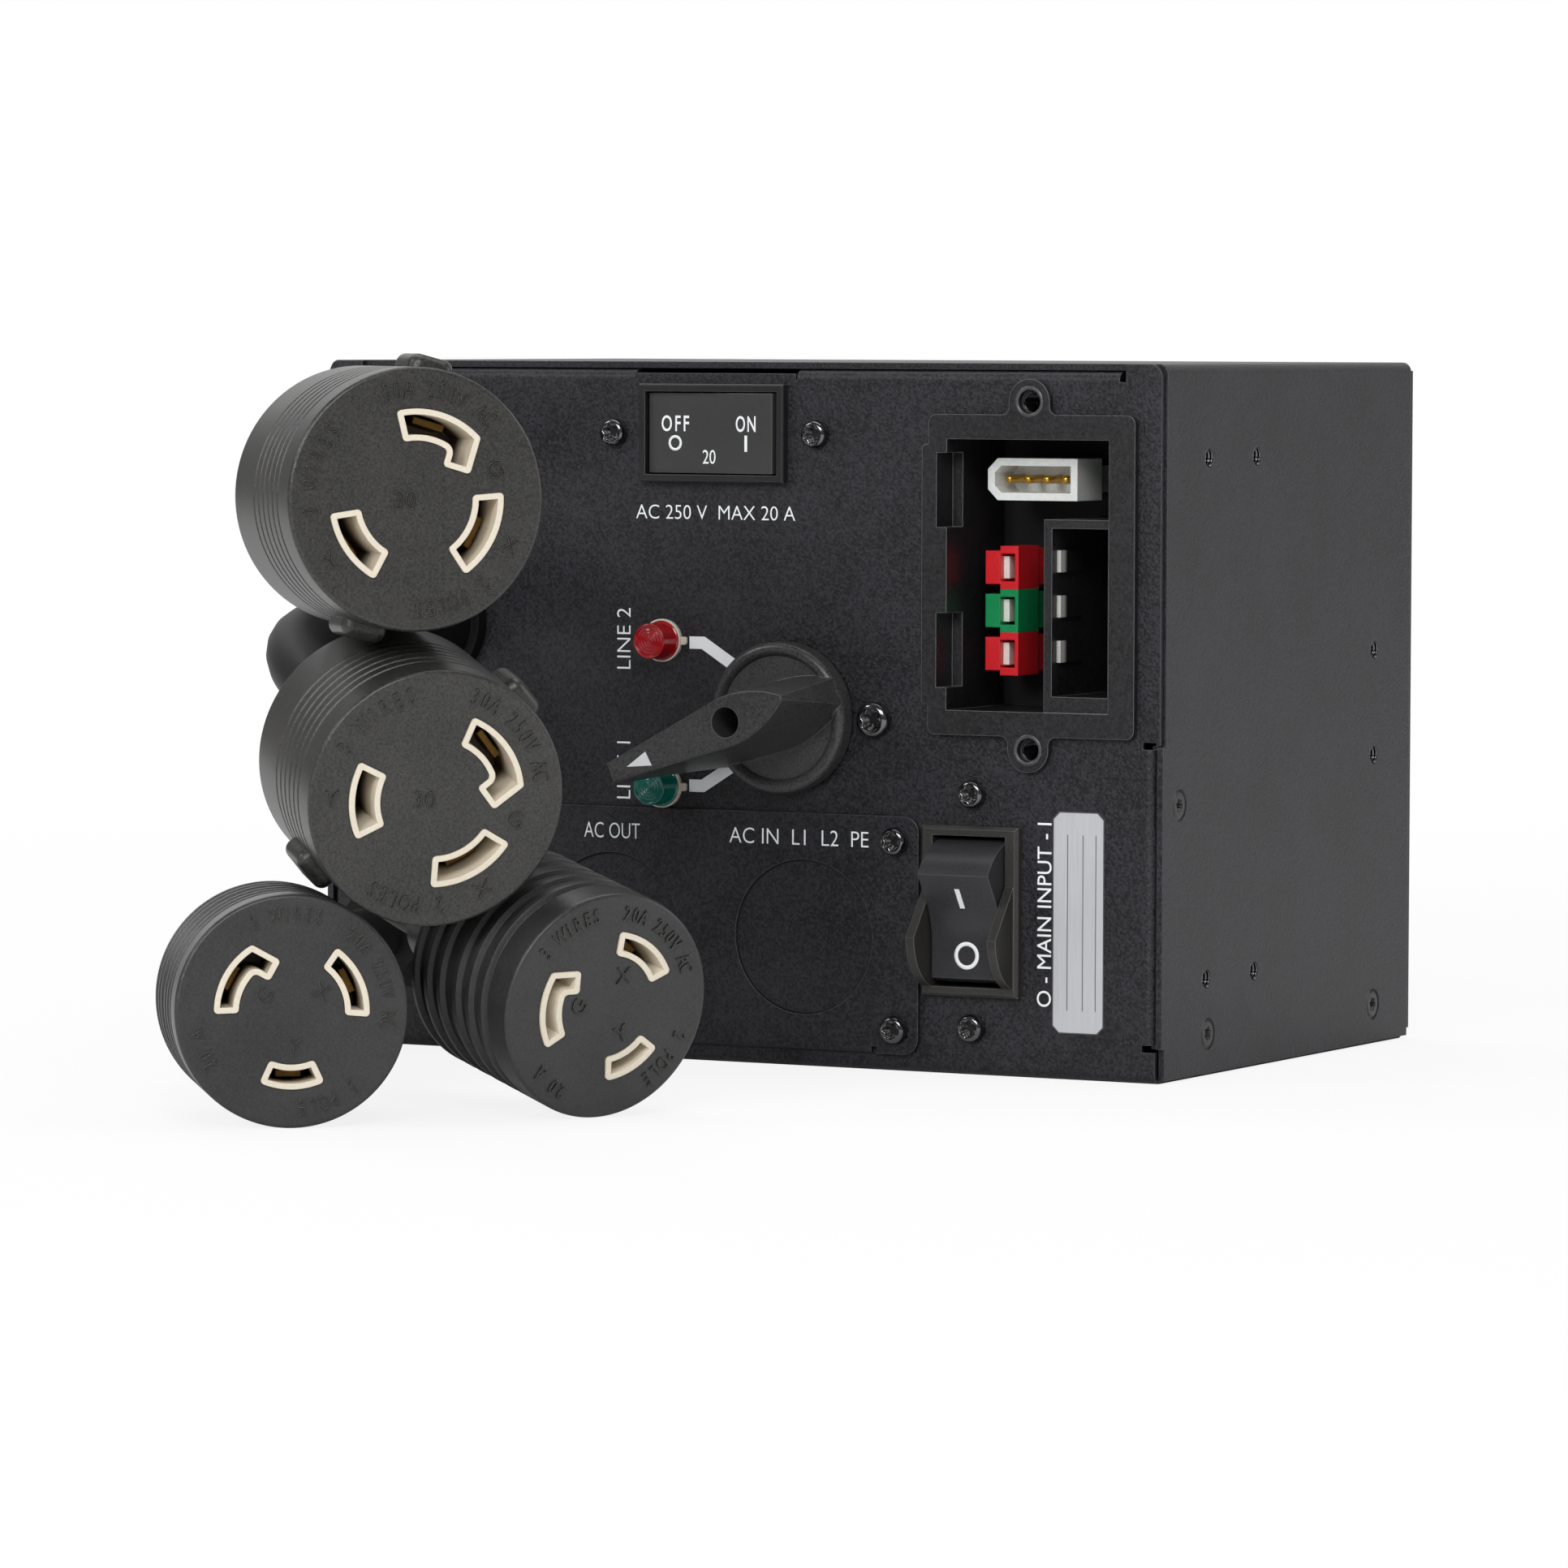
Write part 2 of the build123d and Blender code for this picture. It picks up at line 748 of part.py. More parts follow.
POINTER = Vector(-math.cos(turn), 0, -math.sin(turn))
HANDLE = Plane(
    origin=(bypass_x, front_y - skirt_gap, bypass_z),
    x_dir=POINTER,
    z_dir=(0, -1, 0),
)
HANDLE_SIDE = Plane(origin=HANDLE.origin, x_dir=POINTER, z_dir=POINTER.cross(Vector(0, -1, 0)))
HANDLE_AXIS = Axis(HANDLE.origin, (0, -1, 0))
dish = skirt_height - skirt_dish
with BuildPart() as bypass_handle:
    # grip: a leaf in plan, pointed at the tail and cut square at the tip, flaring towards the skirt
    for level, flare, tail, tail_half in (
        (dish - grip_root, grip_flare, grip_tail_base, grip_tail_base_half),
        (grip_height, 0, grip_tail, grip_tail_half),
    ):
        tip = grip_tip_half + flare / 2
        side = grip_half_width + flare
        bow = (-tail * 0.58, tail_half + (side - tail_half) * 0.7)
        with BuildSketch(HANDLE.offset(level)):
            with BuildLine():
                Polyline(
                    (0, -side),
                    (grip_reach + flare, -tip),
                    (grip_reach + flare, tip),
                    (0, side),
                )
                ThreePointArc((0, side), bow, (-tail, tail_half))
                Line((-tail, tail_half), (-tail, -tail_half))
                ThreePointArc((-tail, -tail_half), (bow[0], -bow[1]), (0, -side))
            make_face()
    loft(ruled=True)
    fillet(bypass_handle.faces().sort_by(Axis.Y)[0].edges(), radius=grip_edge)
    # underside of the grip rising from the skirt to the tip
    grip_end = grip_reach + 2 * grip_flare
    with BuildSketch(HANDLE_SIDE):
        with BuildLine():
            Polyline(
                (skirt_radius + grip_clear, 0),
                (skirt_radius + grip_clear, skirt_height - skirt_rim / 2),
                (grip_reach * 0.81, grip_height * 0.6),
                (grip_end, grip_height * 0.95),
                (grip_end, 0),
                close=True,
            )
        make_face()
    extrude(amount=2 * grip_half_width, both=True, mode=Mode.SUBTRACT)
    # round skirt with a raised rim
    with BuildSketch(HANDLE_SIDE):
        with BuildLine():
            Polyline(
                (0, 0),
                (skirt_radius, 0),
                (skirt_radius, skirt_height - skirt_rim / 2),
            )
            ThreePointArc(
                (skirt_radius, skirt_height - skirt_rim / 2),
                (skirt_radius - skirt_rim / 2, skirt_height),
                (skirt_radius - skirt_rim, skirt_height - skirt_rim / 2),
            )
            Polyline(
                (skirt_radius - skirt_rim, skirt_height - skirt_rim / 2),
                (skirt_radius - skirt_rim, dish),
                (0, dish),
                (0, 0),
            )
        make_face()
    revolve(axis=HANDLE_AXIS)
    with BuildSketch(HANDLE.offset(grip_height)):
        Circle(grip_hole / 2)
    extrude(amount=grip_floor - grip_height, mode=Mode.SUBTRACT)
    with BuildSketch(HANDLE):
        Circle(handle_screw_shank / 2 + shaft_fit)
    extrude(amount=grip_floor, mode=Mode.SUBTRACT)
    with BuildSketch(HANDLE):
        Rectangle(shaft_square + 2 * shaft_fit, shaft_square + 2 * shaft_fit)
    extrude(amount=shaft_in_handle, mode=Mode.SUBTRACT)
save(bypass_handle, "bypass_handle")

with BuildPart() as bypass_shaft:
    with BuildSketch(HANDLE.offset(shaft_in_handle - shaft_fit)):
        Rectangle(shaft_square, shaft_square)
    extrude(amount=shaft_fit - shaft_in_handle)
    with BuildSketch(HANDLE):
        Circle(shaft_square / 2)
    extrude(amount=-skirt_gap - sheet - shaft_depth)
    with BuildSketch(HANDLE.offset(shaft_in_handle)):
        Circle(handle_screw_shank / 2 + shaft_fit)
    extrude(amount=-handle_screw_length, mode=Mode.SUBTRACT)
save(bypass_shaft, "bypass_shaft")

with BuildPart() as handle_screw:
    with BuildSketch(HANDLE.offset(grip_floor)):
        Circle(handle_screw_head / 2)
    extrude(amount=head_height)
    fillet(handle_screw.faces().sort_by(Axis.Y)[0].edges(), radius=head_height * 0.5)
    with BuildSketch(HANDLE.offset(grip_floor)):
        Circle(handle_screw_shank / 2)
    extrude(amount=handle_screw_clear - handle_screw_length)
save(handle_screw, "handle_screw")

# Pilot lamps: coloured lens, light collar and a body behind the panel
for label, (x, z) in zip(("red_lamp_lens", "green_lamp_lens"), lamp_points):
    with BuildPart() as lens:
        with BuildSketch(FRONT.offset(collar_height)):
            with Locations((x, z)):
                Circle(lens_radius)
        extrude(amount=lens_height - collar_height)
        fillet(lens.faces().sort_by(Axis.Y)[0].edges(), radius=lens_round)
        with BuildSketch(FRONT.offset(collar_height)):
            with Locations((x, z)):
                Circle(lens_stem)
        extrude(amount=-collar_height - sheet)
    save(lens, label)

with BuildPart() as lamp_collars:
    with BuildSketch(FRONT):
        with Locations(*lamp_points):
            Circle(collar_radius)
            Circle(lens_stem + shaft_fit, mode=Mode.SUBTRACT)
    extrude(amount=collar_height)
save(lamp_collars, "lamp_collars")

with BuildPart() as lamp_bodies:
    with BuildSketch(FRONT.offset(-sheet)):
        with Locations(*lamp_points):
            Circle(lamp_body_radius)
    extrude(amount=-lamp_body_length)
save(lamp_bodies, "lamp_bodies")

# Input switch: frame, finger guards and case in one moulding, with a rocker on level trunnions
switch_pivot = (switch_x, front_y + switch_pivot_depth, switch_z)
SWITCH_SIDE = Plane(origin=switch_pivot, x_dir=(0, 0, 1), z_dir=(-1, 0, 0))
guard_offset = switch_opening_width / 2 + guard_thick / 2
with BuildPart() as switch_body:
    with BuildSketch(FRONT):
        with Locations((switch_x, switch_z)):
            Rectangle(switch_frame_width, switch_frame_height)
    extrude(amount=switch_proud)
    chamfer(switch_body.faces().sort_by(Axis.Y)[0].edges(), length=switch_proud * 0.3)
    # one guard on each side of the rocker's lower half, straight above its peak and rounded below
    for side in (-1, 1):
        guard_x = switch_x + side * guard_offset - guard_thick / 2
        GUARD = Plane(origin=(guard_x, front_y, switch_z), x_dir=(0, 0, 1), z_dir=(1, 0, 0))
        with BuildSketch(GUARD):
            with BuildLine():
                ThreePointArc(
                    (guard_peak, guard_proud),
                    ((guard_peak + guard_bottom) / 2 - guard_swell, guard_proud * 0.74),
                    (guard_bottom, switch_proud / 2),
                )
                Polyline(
                    (guard_bottom, switch_proud / 2),
                    (guard_bottom, 0),
                    (guard_top, 0),
                    (guard_top, switch_proud),
                    (guard_peak, guard_proud),
                )
            make_face()
        extrude(amount=guard_thick)
    with BuildSketch(FRONT):
        with Locations((switch_x, switch_z)):
            Rectangle(switch_opening_width + 2 * switch_wall, switch_opening_height + 2 * switch_wall)
    extrude(amount=-switch_case_depth)
    with BuildSketch(FRONT.offset(switch_proud)):
        with Locations((switch_x, switch_z)):
            Rectangle(switch_opening_width, switch_opening_height)
    extrude(amount=-switch_proud - switch_well, mode=Mode.SUBTRACT)
    with BuildSketch(SWITCH_SIDE):
        Circle(trunnion_radius + trunnion_fit)
    extrude(amount=switch_opening_width / 2 + switch_wall, both=True, mode=Mode.SUBTRACT)
save(switch_body, "switch_body")

# The rocker's two halves meet in a shallow valley, and each end is an arc about the pivot
switch_tilt = switch_rock / 2
tilt = math.radians(switch_tilt)
ROCKER_O = Plane(
    origin=switch_pivot,
    x_dir=(0, -math.sin(tilt), math.cos(tilt)),
    z_dir=(-1, 0, 0),
)
slope = math.tan(tilt)
reach_a = 1 + slope * slope
reach_b = switch_middle * slope
reach_c = switch_middle**2 - switch_end_radius**2
ridge = (-reach_b + math.sqrt(reach_b**2 - reach_a * reach_c)) / reach_a
ridge_rise = switch_middle + slope * ridge
heel_turn = math.radians(switch_heel_turn)
heel = switch_end_radius * math.cos(heel_turn)
heel_drop = switch_end_radius * math.sin(heel_turn)
rocker_width = switch_opening_width - 2 * rocker_side_gap
with BuildPart() as switch_rocker:
    with BuildSketch(ROCKER_O):
        with BuildLine():
            Polyline((ridge, -ridge_rise), (0, -switch_middle), (-ridge, -ridge_rise))
            RadiusArc((-ridge, -ridge_rise), (-heel, heel_drop), switch_end_radius)
            Line((-heel, heel_drop), (heel, heel_drop))
            RadiusArc((heel, heel_drop), (ridge, -ridge_rise), switch_end_radius)
        make_face()
    extrude(amount=rocker_width / 2, both=True)
    crests = switch_rocker.edges().filter_by(Axis.X).sort_by(Axis.Y)[:3]
    fillet(crests.sort_by(Axis.Z)[1], radius=switch_end_radius)
    with BuildSketch(ROCKER_O):
        Circle(trunnion_radius)
    extrude(amount=rocker_width / 2 + trunnion_reach, both=True)
save(switch_rocker, "switch_rocker")

with BuildPart() as switch_terminals:
    with BuildSketch(FRONT.offset(-switch_case_depth)):
        with Locations((switch_x, switch_z)):
            with GridLocations(switch_blade_pitch_x, switch_blade_pitch_z, 2, 2):
                Rectangle(blade_thick, blade_width)
    extrude(amount=-blade_length)
save(switch_terminals, "switch_terminals")

# Connector bezel: rim with screw ears on the panel, sleeve through it and a square tube for a small module
with BuildPart() as connector_bezel:
    with BuildSketch(FRONT) as rim_face:
        with Locations((bezel_middle, (bezel_top + bezel_bottom) / 2)):
            RectangleRounded(bezel_right - bezel_left, bezel_tall, bezel_corner)
        bulge_top = opening_top - bezel_bulge_margin
        bulge_bottom = opening_bottom + bezel_bulge_margin
        with Locations((bezel_left, (bulge_top + bulge_bottom) / 2)):
            RectangleRounded(2 * bezel_bulge, bulge_top - bulge_bottom, bezel_bulge * 0.6)
        with Locations(*bezel_ears):
            Circle(ear_radius)
        with Locations((ear_x, bezel_top), (ear_x, bezel_bottom)):
            Rectangle(2 * ear_radius, 2 * ear_reach)
        beside_ears = [
            v
            for v in rim_face.vertices()
            if abs(abs(v.X - ear_x) - ear_radius) < tolerance
            and min(abs(v.Y - bezel_top), abs(v.Y - bezel_bottom)) < tolerance
        ]
        fillet(beside_ears, radius=ear_root)
    extrude(amount=bezel_proud)
    with BuildSketch(FRONT):
        with Locations(((sleeve_left + sleeve_right) / 2, (sleeve_top + sleeve_bottom) / 2)):
            Rectangle(sleeve_right - sleeve_left, sleeve_top - sleeve_bottom)
    extrude(amount=-sleeve_depth)
    with BuildSketch(FRONT.offset(bezel_proud)):
        with Locations(((opening_left + opening_right) / 2, (opening_top + opening_bottom) / 2)):
            Rectangle(opening_right - opening_left, opening_top - opening_bottom)
        with Locations(*bezel_ears):
            Circle(ear_hole / 2)
    extrude(amount=-bezel_proud - sleeve_depth, mode=Mode.SUBTRACT)
    with BuildSketch(FRONT.offset(bezel_proud)):
        for drop in (notch_upper, notch_lower):
            with Locations((opening_left - notch_depth / 2, bezel_top - drop - notch_tall / 2)):
                Rectangle(notch_depth, notch_tall)
    extrude(amount=-bezel_proud - notch_in, mode=Mode.SUBTRACT)
    tube_top = opening_top - tube_drop
    with BuildSketch(FRONT.offset(bezel_proud - tube_set_in)):
        with Locations(((tube_left + opening_right) / 2, (tube_top + opening_bottom) / 2)):
            Rectangle(opening_right - tube_left, tube_top - opening_bottom)
        window_left = tube_left + tube_wall
        window_right = opening_right - tube_right_wall
        window_top = tube_top - tube_wall
        window_bottom = opening_bottom + tube_floor_wall
        with Locations(((window_left + window_right) / 2, (window_top + window_bottom) / 2)):
            Rectangle(window_right - window_left, window_top - window_bottom, mode=Mode.SUBTRACT)
    extrude(amount=-bezel_proud + tube_set_in - sleeve_depth)
save(connector_bezel, "connector_bezel")

# Back plate behind the sleeve, which carries the plug and the power housings
BACK = FRONT.offset(-sleeve_depth)
with BuildPart() as socket_back_plate:
    with BuildSketch(BACK):
        with Locations(((sleeve_left + sleeve_right) / 2, (sleeve_top + sleeve_bottom) / 2)):
            RectangleRounded(sleeve_right - sleeve_left, sleeve_top - sleeve_bottom, back_plate_corner)
    extrude(amount=-back_plate)
save(socket_back_plate, "socket_back_plate")

plug_x = plug_left + plug_width / 2
plug_z = opening_top - plug_drop - plug_tall / 2
PLUG_FACE = FRONT.offset(-plug_set_in)
with BuildPart() as signal_plug:
    with BuildSketch(PLUG_FACE):
        with Locations((plug_x, plug_z)):
            outer = Rectangle(plug_width, plug_tall)
            chamfer(outer.vertices().group_by(Axis.X)[0], length=plug_corner)
    extrude(amount=-plug_length)
    with BuildSketch(PLUG_FACE.offset(-plug_length)):
        with Locations((plug_x, plug_z)):
            Rectangle(plug_width - 2 * plug_stem_inset, plug_tall - 2 * plug_stem_inset)
    extrude(amount=plug_set_in + plug_length - sleeve_depth)
    with BuildSketch(PLUG_FACE):
        with Locations((plug_x, plug_z)):
            cavity = Rectangle(plug_width - 2 * plug_wall, plug_tall - 2 * plug_wall)
            chamfer(cavity.vertices().group_by(Axis.X)[0], length=plug_corner - plug_wall / 2)
    extrude(amount=-plug_cavity_depth, mode=Mode.SUBTRACT)
save(signal_plug, "signal_plug")

with BuildPart() as signal_pins:
    with BuildSketch(PLUG_FACE.offset(-plug_cavity_depth)):
        with Locations((plug_x, plug_z)):
            with GridLocations(pin_pitch, 0, 4, 1):
                Circle(pin_radius)
    extrude(amount=pin_length)
    fillet(signal_pins.faces().sort_by(Axis.Y)[:4].edges(), radius=pin_radius * 0.9)
save(signal_pins, "signal_pins")

HOUSING_FACE = FRONT.offset(-housing_set_in)
housing_top = opening_top - housing_drop
contact_spots = []
for i, label in enumerate(("power_housing_upper", "power_housing_middle", "power_housing_lower")):
    mid_z = housing_top - (i + 0.5) * housing_pitch
    body_left = housing_left + housing_tongue
    body_x = body_left + housing_body / 2
    well_width = housing_body - 2 * housing_wall
    well_tall = housing_pitch - 4 * housing_wall
    contact_spots.append((body_left + contact_thick / 2, mid_z))
    with BuildPart() as housing:
        with BuildSketch(HOUSING_FACE):
            with Locations((body_x, mid_z)):
                Rectangle(housing_body, housing_pitch)
            with Locations((housing_left + housing_tongue / 2, mid_z)):
                Rectangle(housing_tongue, housing_pitch - 2 * housing_step)
        extrude(amount=-housing_length)
        with BuildSketch(HOUSING_FACE.offset(-housing_length)):
            with Locations((body_x, mid_z)):
                Rectangle(housing_body - housing_stem_inset, housing_pitch - 2 * housing_stem_inset)
        extrude(amount=housing_set_in + housing_length - sleeve_depth)
        with BuildSketch(HOUSING_FACE):
            with Locations((body_x - housing_wall / 2, mid_z)):
                Rectangle(well_width + housing_wall, well_tall)
        extrude(amount=-housing_cavity_depth, mode=Mode.SUBTRACT)
        with BuildSketch(HOUSING_FACE):
            with Locations((housing_left + housing_tongue / 2, mid_z)):
                Rectangle(housing_tongue, housing_pitch - 2 * housing_step)
        extrude(amount=-tongue_depth)
    save(housing, label)

with BuildPart() as power_contacts:
    with BuildSketch(HOUSING_FACE.offset(-housing_cavity_depth)):
        with Locations(*contact_spots):
            Rectangle(contact_thick, well_tall - 2 * contact_inset)
    extrude(amount=housing_cavity_depth - tongue_depth - contact_sunk)
save(power_contacts, "power_contacts")

with BuildPart() as module_fingers:
    with BuildSketch(FRONT.offset(-finger_set_in)):
        for i in range(3):
            with Locations((window_left + finger_thick / 2, tube_top - finger_drop - i * finger_pitch)):
                Rectangle(finger_thick, finger_width)
    extrude(amount=-finger_length)
save(module_fingers, "module_fingers")

# Terminal block and earth stud on the base
with BuildPart() as terminal_block:
    with BuildSketch(Plane.XY.offset(sheet)):
        with Locations((block_x, front_y + block_setback + block_depth / 2)):
            Rectangle(block_width, block_depth)
    extrude(amount=block_height)
    with BuildSketch(Plane.XY.offset(sheet + block_height)):
        with Locations((block_x, front_y + block_setback + block_depth / 2)):
            with GridLocations(block_pitch, 0, block_ways, 1):
                Rectangle(block_pitch - block_rib, block_depth - 2 * block_lip)
    extrude(amount=-block_pocket, mode=Mode.SUBTRACT)
save(terminal_block, "terminal_block")

with BuildPart() as terminal_block_screws:
    with BuildSketch(Plane.XY.offset(sheet + block_height - block_pocket)):
        with Locations((block_x, front_y + block_setback + block_depth / 2)):
            with GridLocations(block_pitch, 0, block_ways, 1):
                Circle(block_screw / 2)
    extrude(amount=block_screw_rise)
save(terminal_block_screws, "terminal_block_screws")

stud_spot = (half - stud_from_side, rear_y - stud_from_rear)
with BuildPart() as earth_stud:
    with BuildSketch(Plane.XY.offset(sheet)):
        with Locations(stud_spot):
            Circle(stud_radius)
    extrude(amount=stud_height)
    with BuildSketch(Plane.XY.offset(sheet)):
        with Locations(stud_spot):
            RegularPolygon(stud_nut, 6)
    extrude(amount=stud_nut_height)
save(earth_stud, "earth_stud")


@dataclass
class Receptacle:
    """One make of receptacle: its outside, its contact slots and the cord that it takes."""

    radius: float
    straight: float
    length: float
    cord: float
    ring: float
    ring_width: float
    leg_width: float
    slots: list
    lugs: bool

    @property
    def neck(self):
        """Outer radius of the sleeve round the cord."""
        return self.cord / 2 + neck_wall


# Slots are (turn from the keyed slot, span) in degrees, ring is the middle radius of the slots
LARGE = Receptacle(
    radius=large_radius,
    straight=large_straight,
    length=large_length,
    cord=large_cord,
    ring=large_ring,
    ring_width=large_ring_width,
    leg_width=large_leg,
    slots=[(0, 61), (-99, 61), (142, 53)],
    lugs=True,
)
SMALL = Receptacle(
    radius=small_radius,
    straight=small_straight,
    length=small_length,
    cord=small_cord,
    ring=small_ring,
    ring_width=small_ring_width,
    leg_width=small_leg,
    slots=[(0, 61), (-126, 60), (119, 50)],
    lugs=False,
)


def front_outline(make):
    """Points of the front shell's outside below its rounded face edge, as (radius, height)."""
    points = [(make.radius, -face_round)]
    if make.lugs:
        for i in range(groove_count):
            middle = -groove_first - i * groove_pitch
            points += [
                (make.radius, middle + groove_width / 2),
                (make.radius - groove_depth, middle),
                (make.radius, middle - groove_width / 2),
            ]
        return points + [(make.radius, -make.straight)]
    root = make.radius - rib_height
    points += [(make.radius, -small_collar), (root, -small_collar)]
    for place in rib_places:
        points += [
            (root, rib_width / 2 - place),
            (make.radius, rib_width / 4 - place),
            (make.radius, -rib_width / 4 - place),
            (root, -rib_width / 2 - place),
        ]
    return points + [(root, -make.straight)]


def slot_faces(plane, make, key, inset):
    """Three arc-shaped slots of a face, drawn in by inset. The keyed one has a leg towards the middle."""
    inner = make.ring - make.ring_width / 2
    outer = make.ring + make.ring_width / 2
    with BuildSketch(plane) as slots:
        for turn_from_key, span in make.slots:
            start = key + turn_from_key - span / 2
            with BuildLine():
                near = CenterArc((0, 0), inner, start, span)
                far = CenterArc((0, 0), outer, start, span)
                Line(near @ 0, far @ 0)
                Line(near @ 1, far @ 1)
            make_face()
        key_half = math.radians(make.slots[0][1] / 2)
        leg_foot = inner - leg_reach
        leg_head = outer * math.cos(key_half)
        leg_side = -outer * math.sin(key_half)
        leg_middle = Vector((leg_foot + leg_head) / 2, leg_side + make.leg_width / 2)
        leg = leg_middle.rotate(Axis.Z, key)
        with Locations(Location((leg.X, leg.Y, 0), (0, 0, key))):
            Rectangle(leg_head - leg_foot, make.leg_width)
        fillet(slots.vertices(), radius=slot_corner)
        if inset:
            offset(amount=-inset, kind=Kind.INTERSECTION)
    return slots.sketch


def connector(number, make, centre, azimuth, elevation, key):
    """Writes one receptacle's shells, core and contacts, and returns the way out of its face."""
    flat = math.cos(math.radians(elevation))
    out = Vector(
        math.sin(math.radians(azimuth)) * flat,
        -math.cos(math.radians(azimuth)) * flat,
        math.sin(math.radians(elevation)),
    )
    across = Vector(math.cos(math.radians(azimuth)), math.sin(math.radians(azimuth)), 0)
    face = Plane(origin=centre, x_dir=across, z_dir=out)
    section = Plane(origin=centre, x_dir=across, z_dir=across.cross(out))
    spindle = Axis(centre, out)
    cavity = make.radius - shell_wall
    core_radius = cavity - core_fit
    core_depth = make.straight - face_wall

    with BuildPart() as body:
        with BuildSketch(section):
            with BuildLine():
                Polyline((cavity, -make.straight), (cavity, -face_wall), (0, -face_wall), (0, 0))
                Line((0, 0), (make.radius - face_round, 0))
                RadiusArc((make.radius - face_round, 0), (make.radius, -face_round), face_round)
                Polyline(*front_outline(make), (cavity, -make.straight))
            make_face()
        revolve(axis=spindle)
        extrude(slot_faces(face, make, key, 0), amount=-face_wall, mode=Mode.SUBTRACT)
        if make.lugs:
            for lug_angle in (key + lug_turn, key + lug_turn + 180):
                lug_out = across.rotate(Axis((0, 0, 0), out), lug_angle)
                seat = Plane(
                    origin=centre + lug_out * (make.radius - lug_root) - out * lug_behind_face,
                    x_dir=lug_out.cross(out),
                    z_dir=lug_out,
                )
                with BuildSketch(seat):
                    with Locations((0, lug_length / 2)):
                        RectangleRounded(lug_width, lug_length, lug_round)
                extrude(amount=lug_root + lug_rise)
                crown = body.faces().sort_by(lambda f: -f.center().dot(lug_out))[0]
                fillet(crown.edges(), radius=lug_round * 0.9)
    save(body, f"connector_body_{number}")

    with BuildPart() as rear:
        with BuildSketch(section):
            with BuildLine():
                if make.lugs:
                    edge = make.radius - shoulder_step
                    foot = -make.straight - shoulder_depth
                    Polyline((0, -make.straight), (edge, -make.straight))
                    RadiusArc((edge, -make.straight), (make.neck, foot), edge)
                else:
                    edge = make.radius - rib_height
                    foot = -make.straight - cone_depth
                    Polyline((0, -make.straight), (edge, -make.straight), (make.neck, foot))
                Polyline(
                    (make.neck, foot),
                    (make.neck, -make.length),
                    (0, -make.length),
                    (0, -make.straight),
                )
            make_face()
        revolve(axis=spindle)
    save(rear, f"connector_rear_{number}")

    with BuildPart() as core:
        with BuildSketch(face.offset(-face_wall)):
            Circle(core_radius)
        extrude(amount=-core_depth)
        liner_face = face.offset(liner_rise)
        extrude(slot_faces(liner_face, make, key, core_fit), amount=-liner_rise - face_wall)
        hollows = slot_faces(liner_face, make, key, liner_wall)
        extrude(hollows, amount=-liner_rise - slot_depth, mode=Mode.SUBTRACT)
    save(core, f"connector_core_{number}")

    strip_radius = make.ring + make.ring_width / 2 - liner_wall - contact_strip
    with BuildPart() as contacts:
        with BuildSketch(face.offset(-slot_depth)):
            for turn_from_key, span in make.slots:
                with PolarLocations(strip_radius, 1, start_angle=key + turn_from_key):
                    Rectangle(contact_strip, make.ring_width)
        extrude(amount=slot_depth - contact_below_face)
    save(contacts, f"connector_contacts_{number}")
    return out


# Places and aims of the four connectors, numbered from the top of the stack down
floor_face = Vector(-half + floor_connector_from_left, front_y - floor_connector_ahead, small_radius)
side_step = Vector(math.cos(math.radians(side_turn)), math.sin(math.radians(side_turn)), 0)
side_tilt = -11
side_face = floor_face + side_step * (2 * small_radius + side_gap)
side_face.Z = small_radius * math.cos(math.radians(side_tilt)) + floor_gap
upper_way = Vector(20.34, 13.28, 35.65).normalized()
upper_face = floor_face + upper_way * (large_radius + small_radius + stack_gap)
top_way = Vector(-2.51, -2.52, 51.0).normalized()
top_face = upper_face + top_way * (2 * large_radius + lug_rise + top_gap)
stack = {
    1: (LARGE, top_face, 47.5, 0, 73),
    2: (LARGE, upper_face, 46.5, -10.5, 38),
    3: (SMALL, floor_face, 38.5, 0, 151),
    4: (SMALL, side_face, 61, side_tilt, 181),
}
# For each cord: its gland, the straight run at the gland, the bends between, the run at the connector
routes = {
    1: (3, 15.0, [(-61.4, -107.1, 109.7), (-52.9, -125.2, 108.9)], 21.0),
    2: (2, 20.0, [(-58.9, -114.5, 78.7), (-47.0, -131.5, 74.2)], 12.0),
    3: (0, 24.5, [(-62.0, -122.0, 20.8)], 20.0),
    4: (1, 15.1, [(-59.5, -106.1, 48.8), (-46.2, -121.2, 41.5)], 11.7),
}

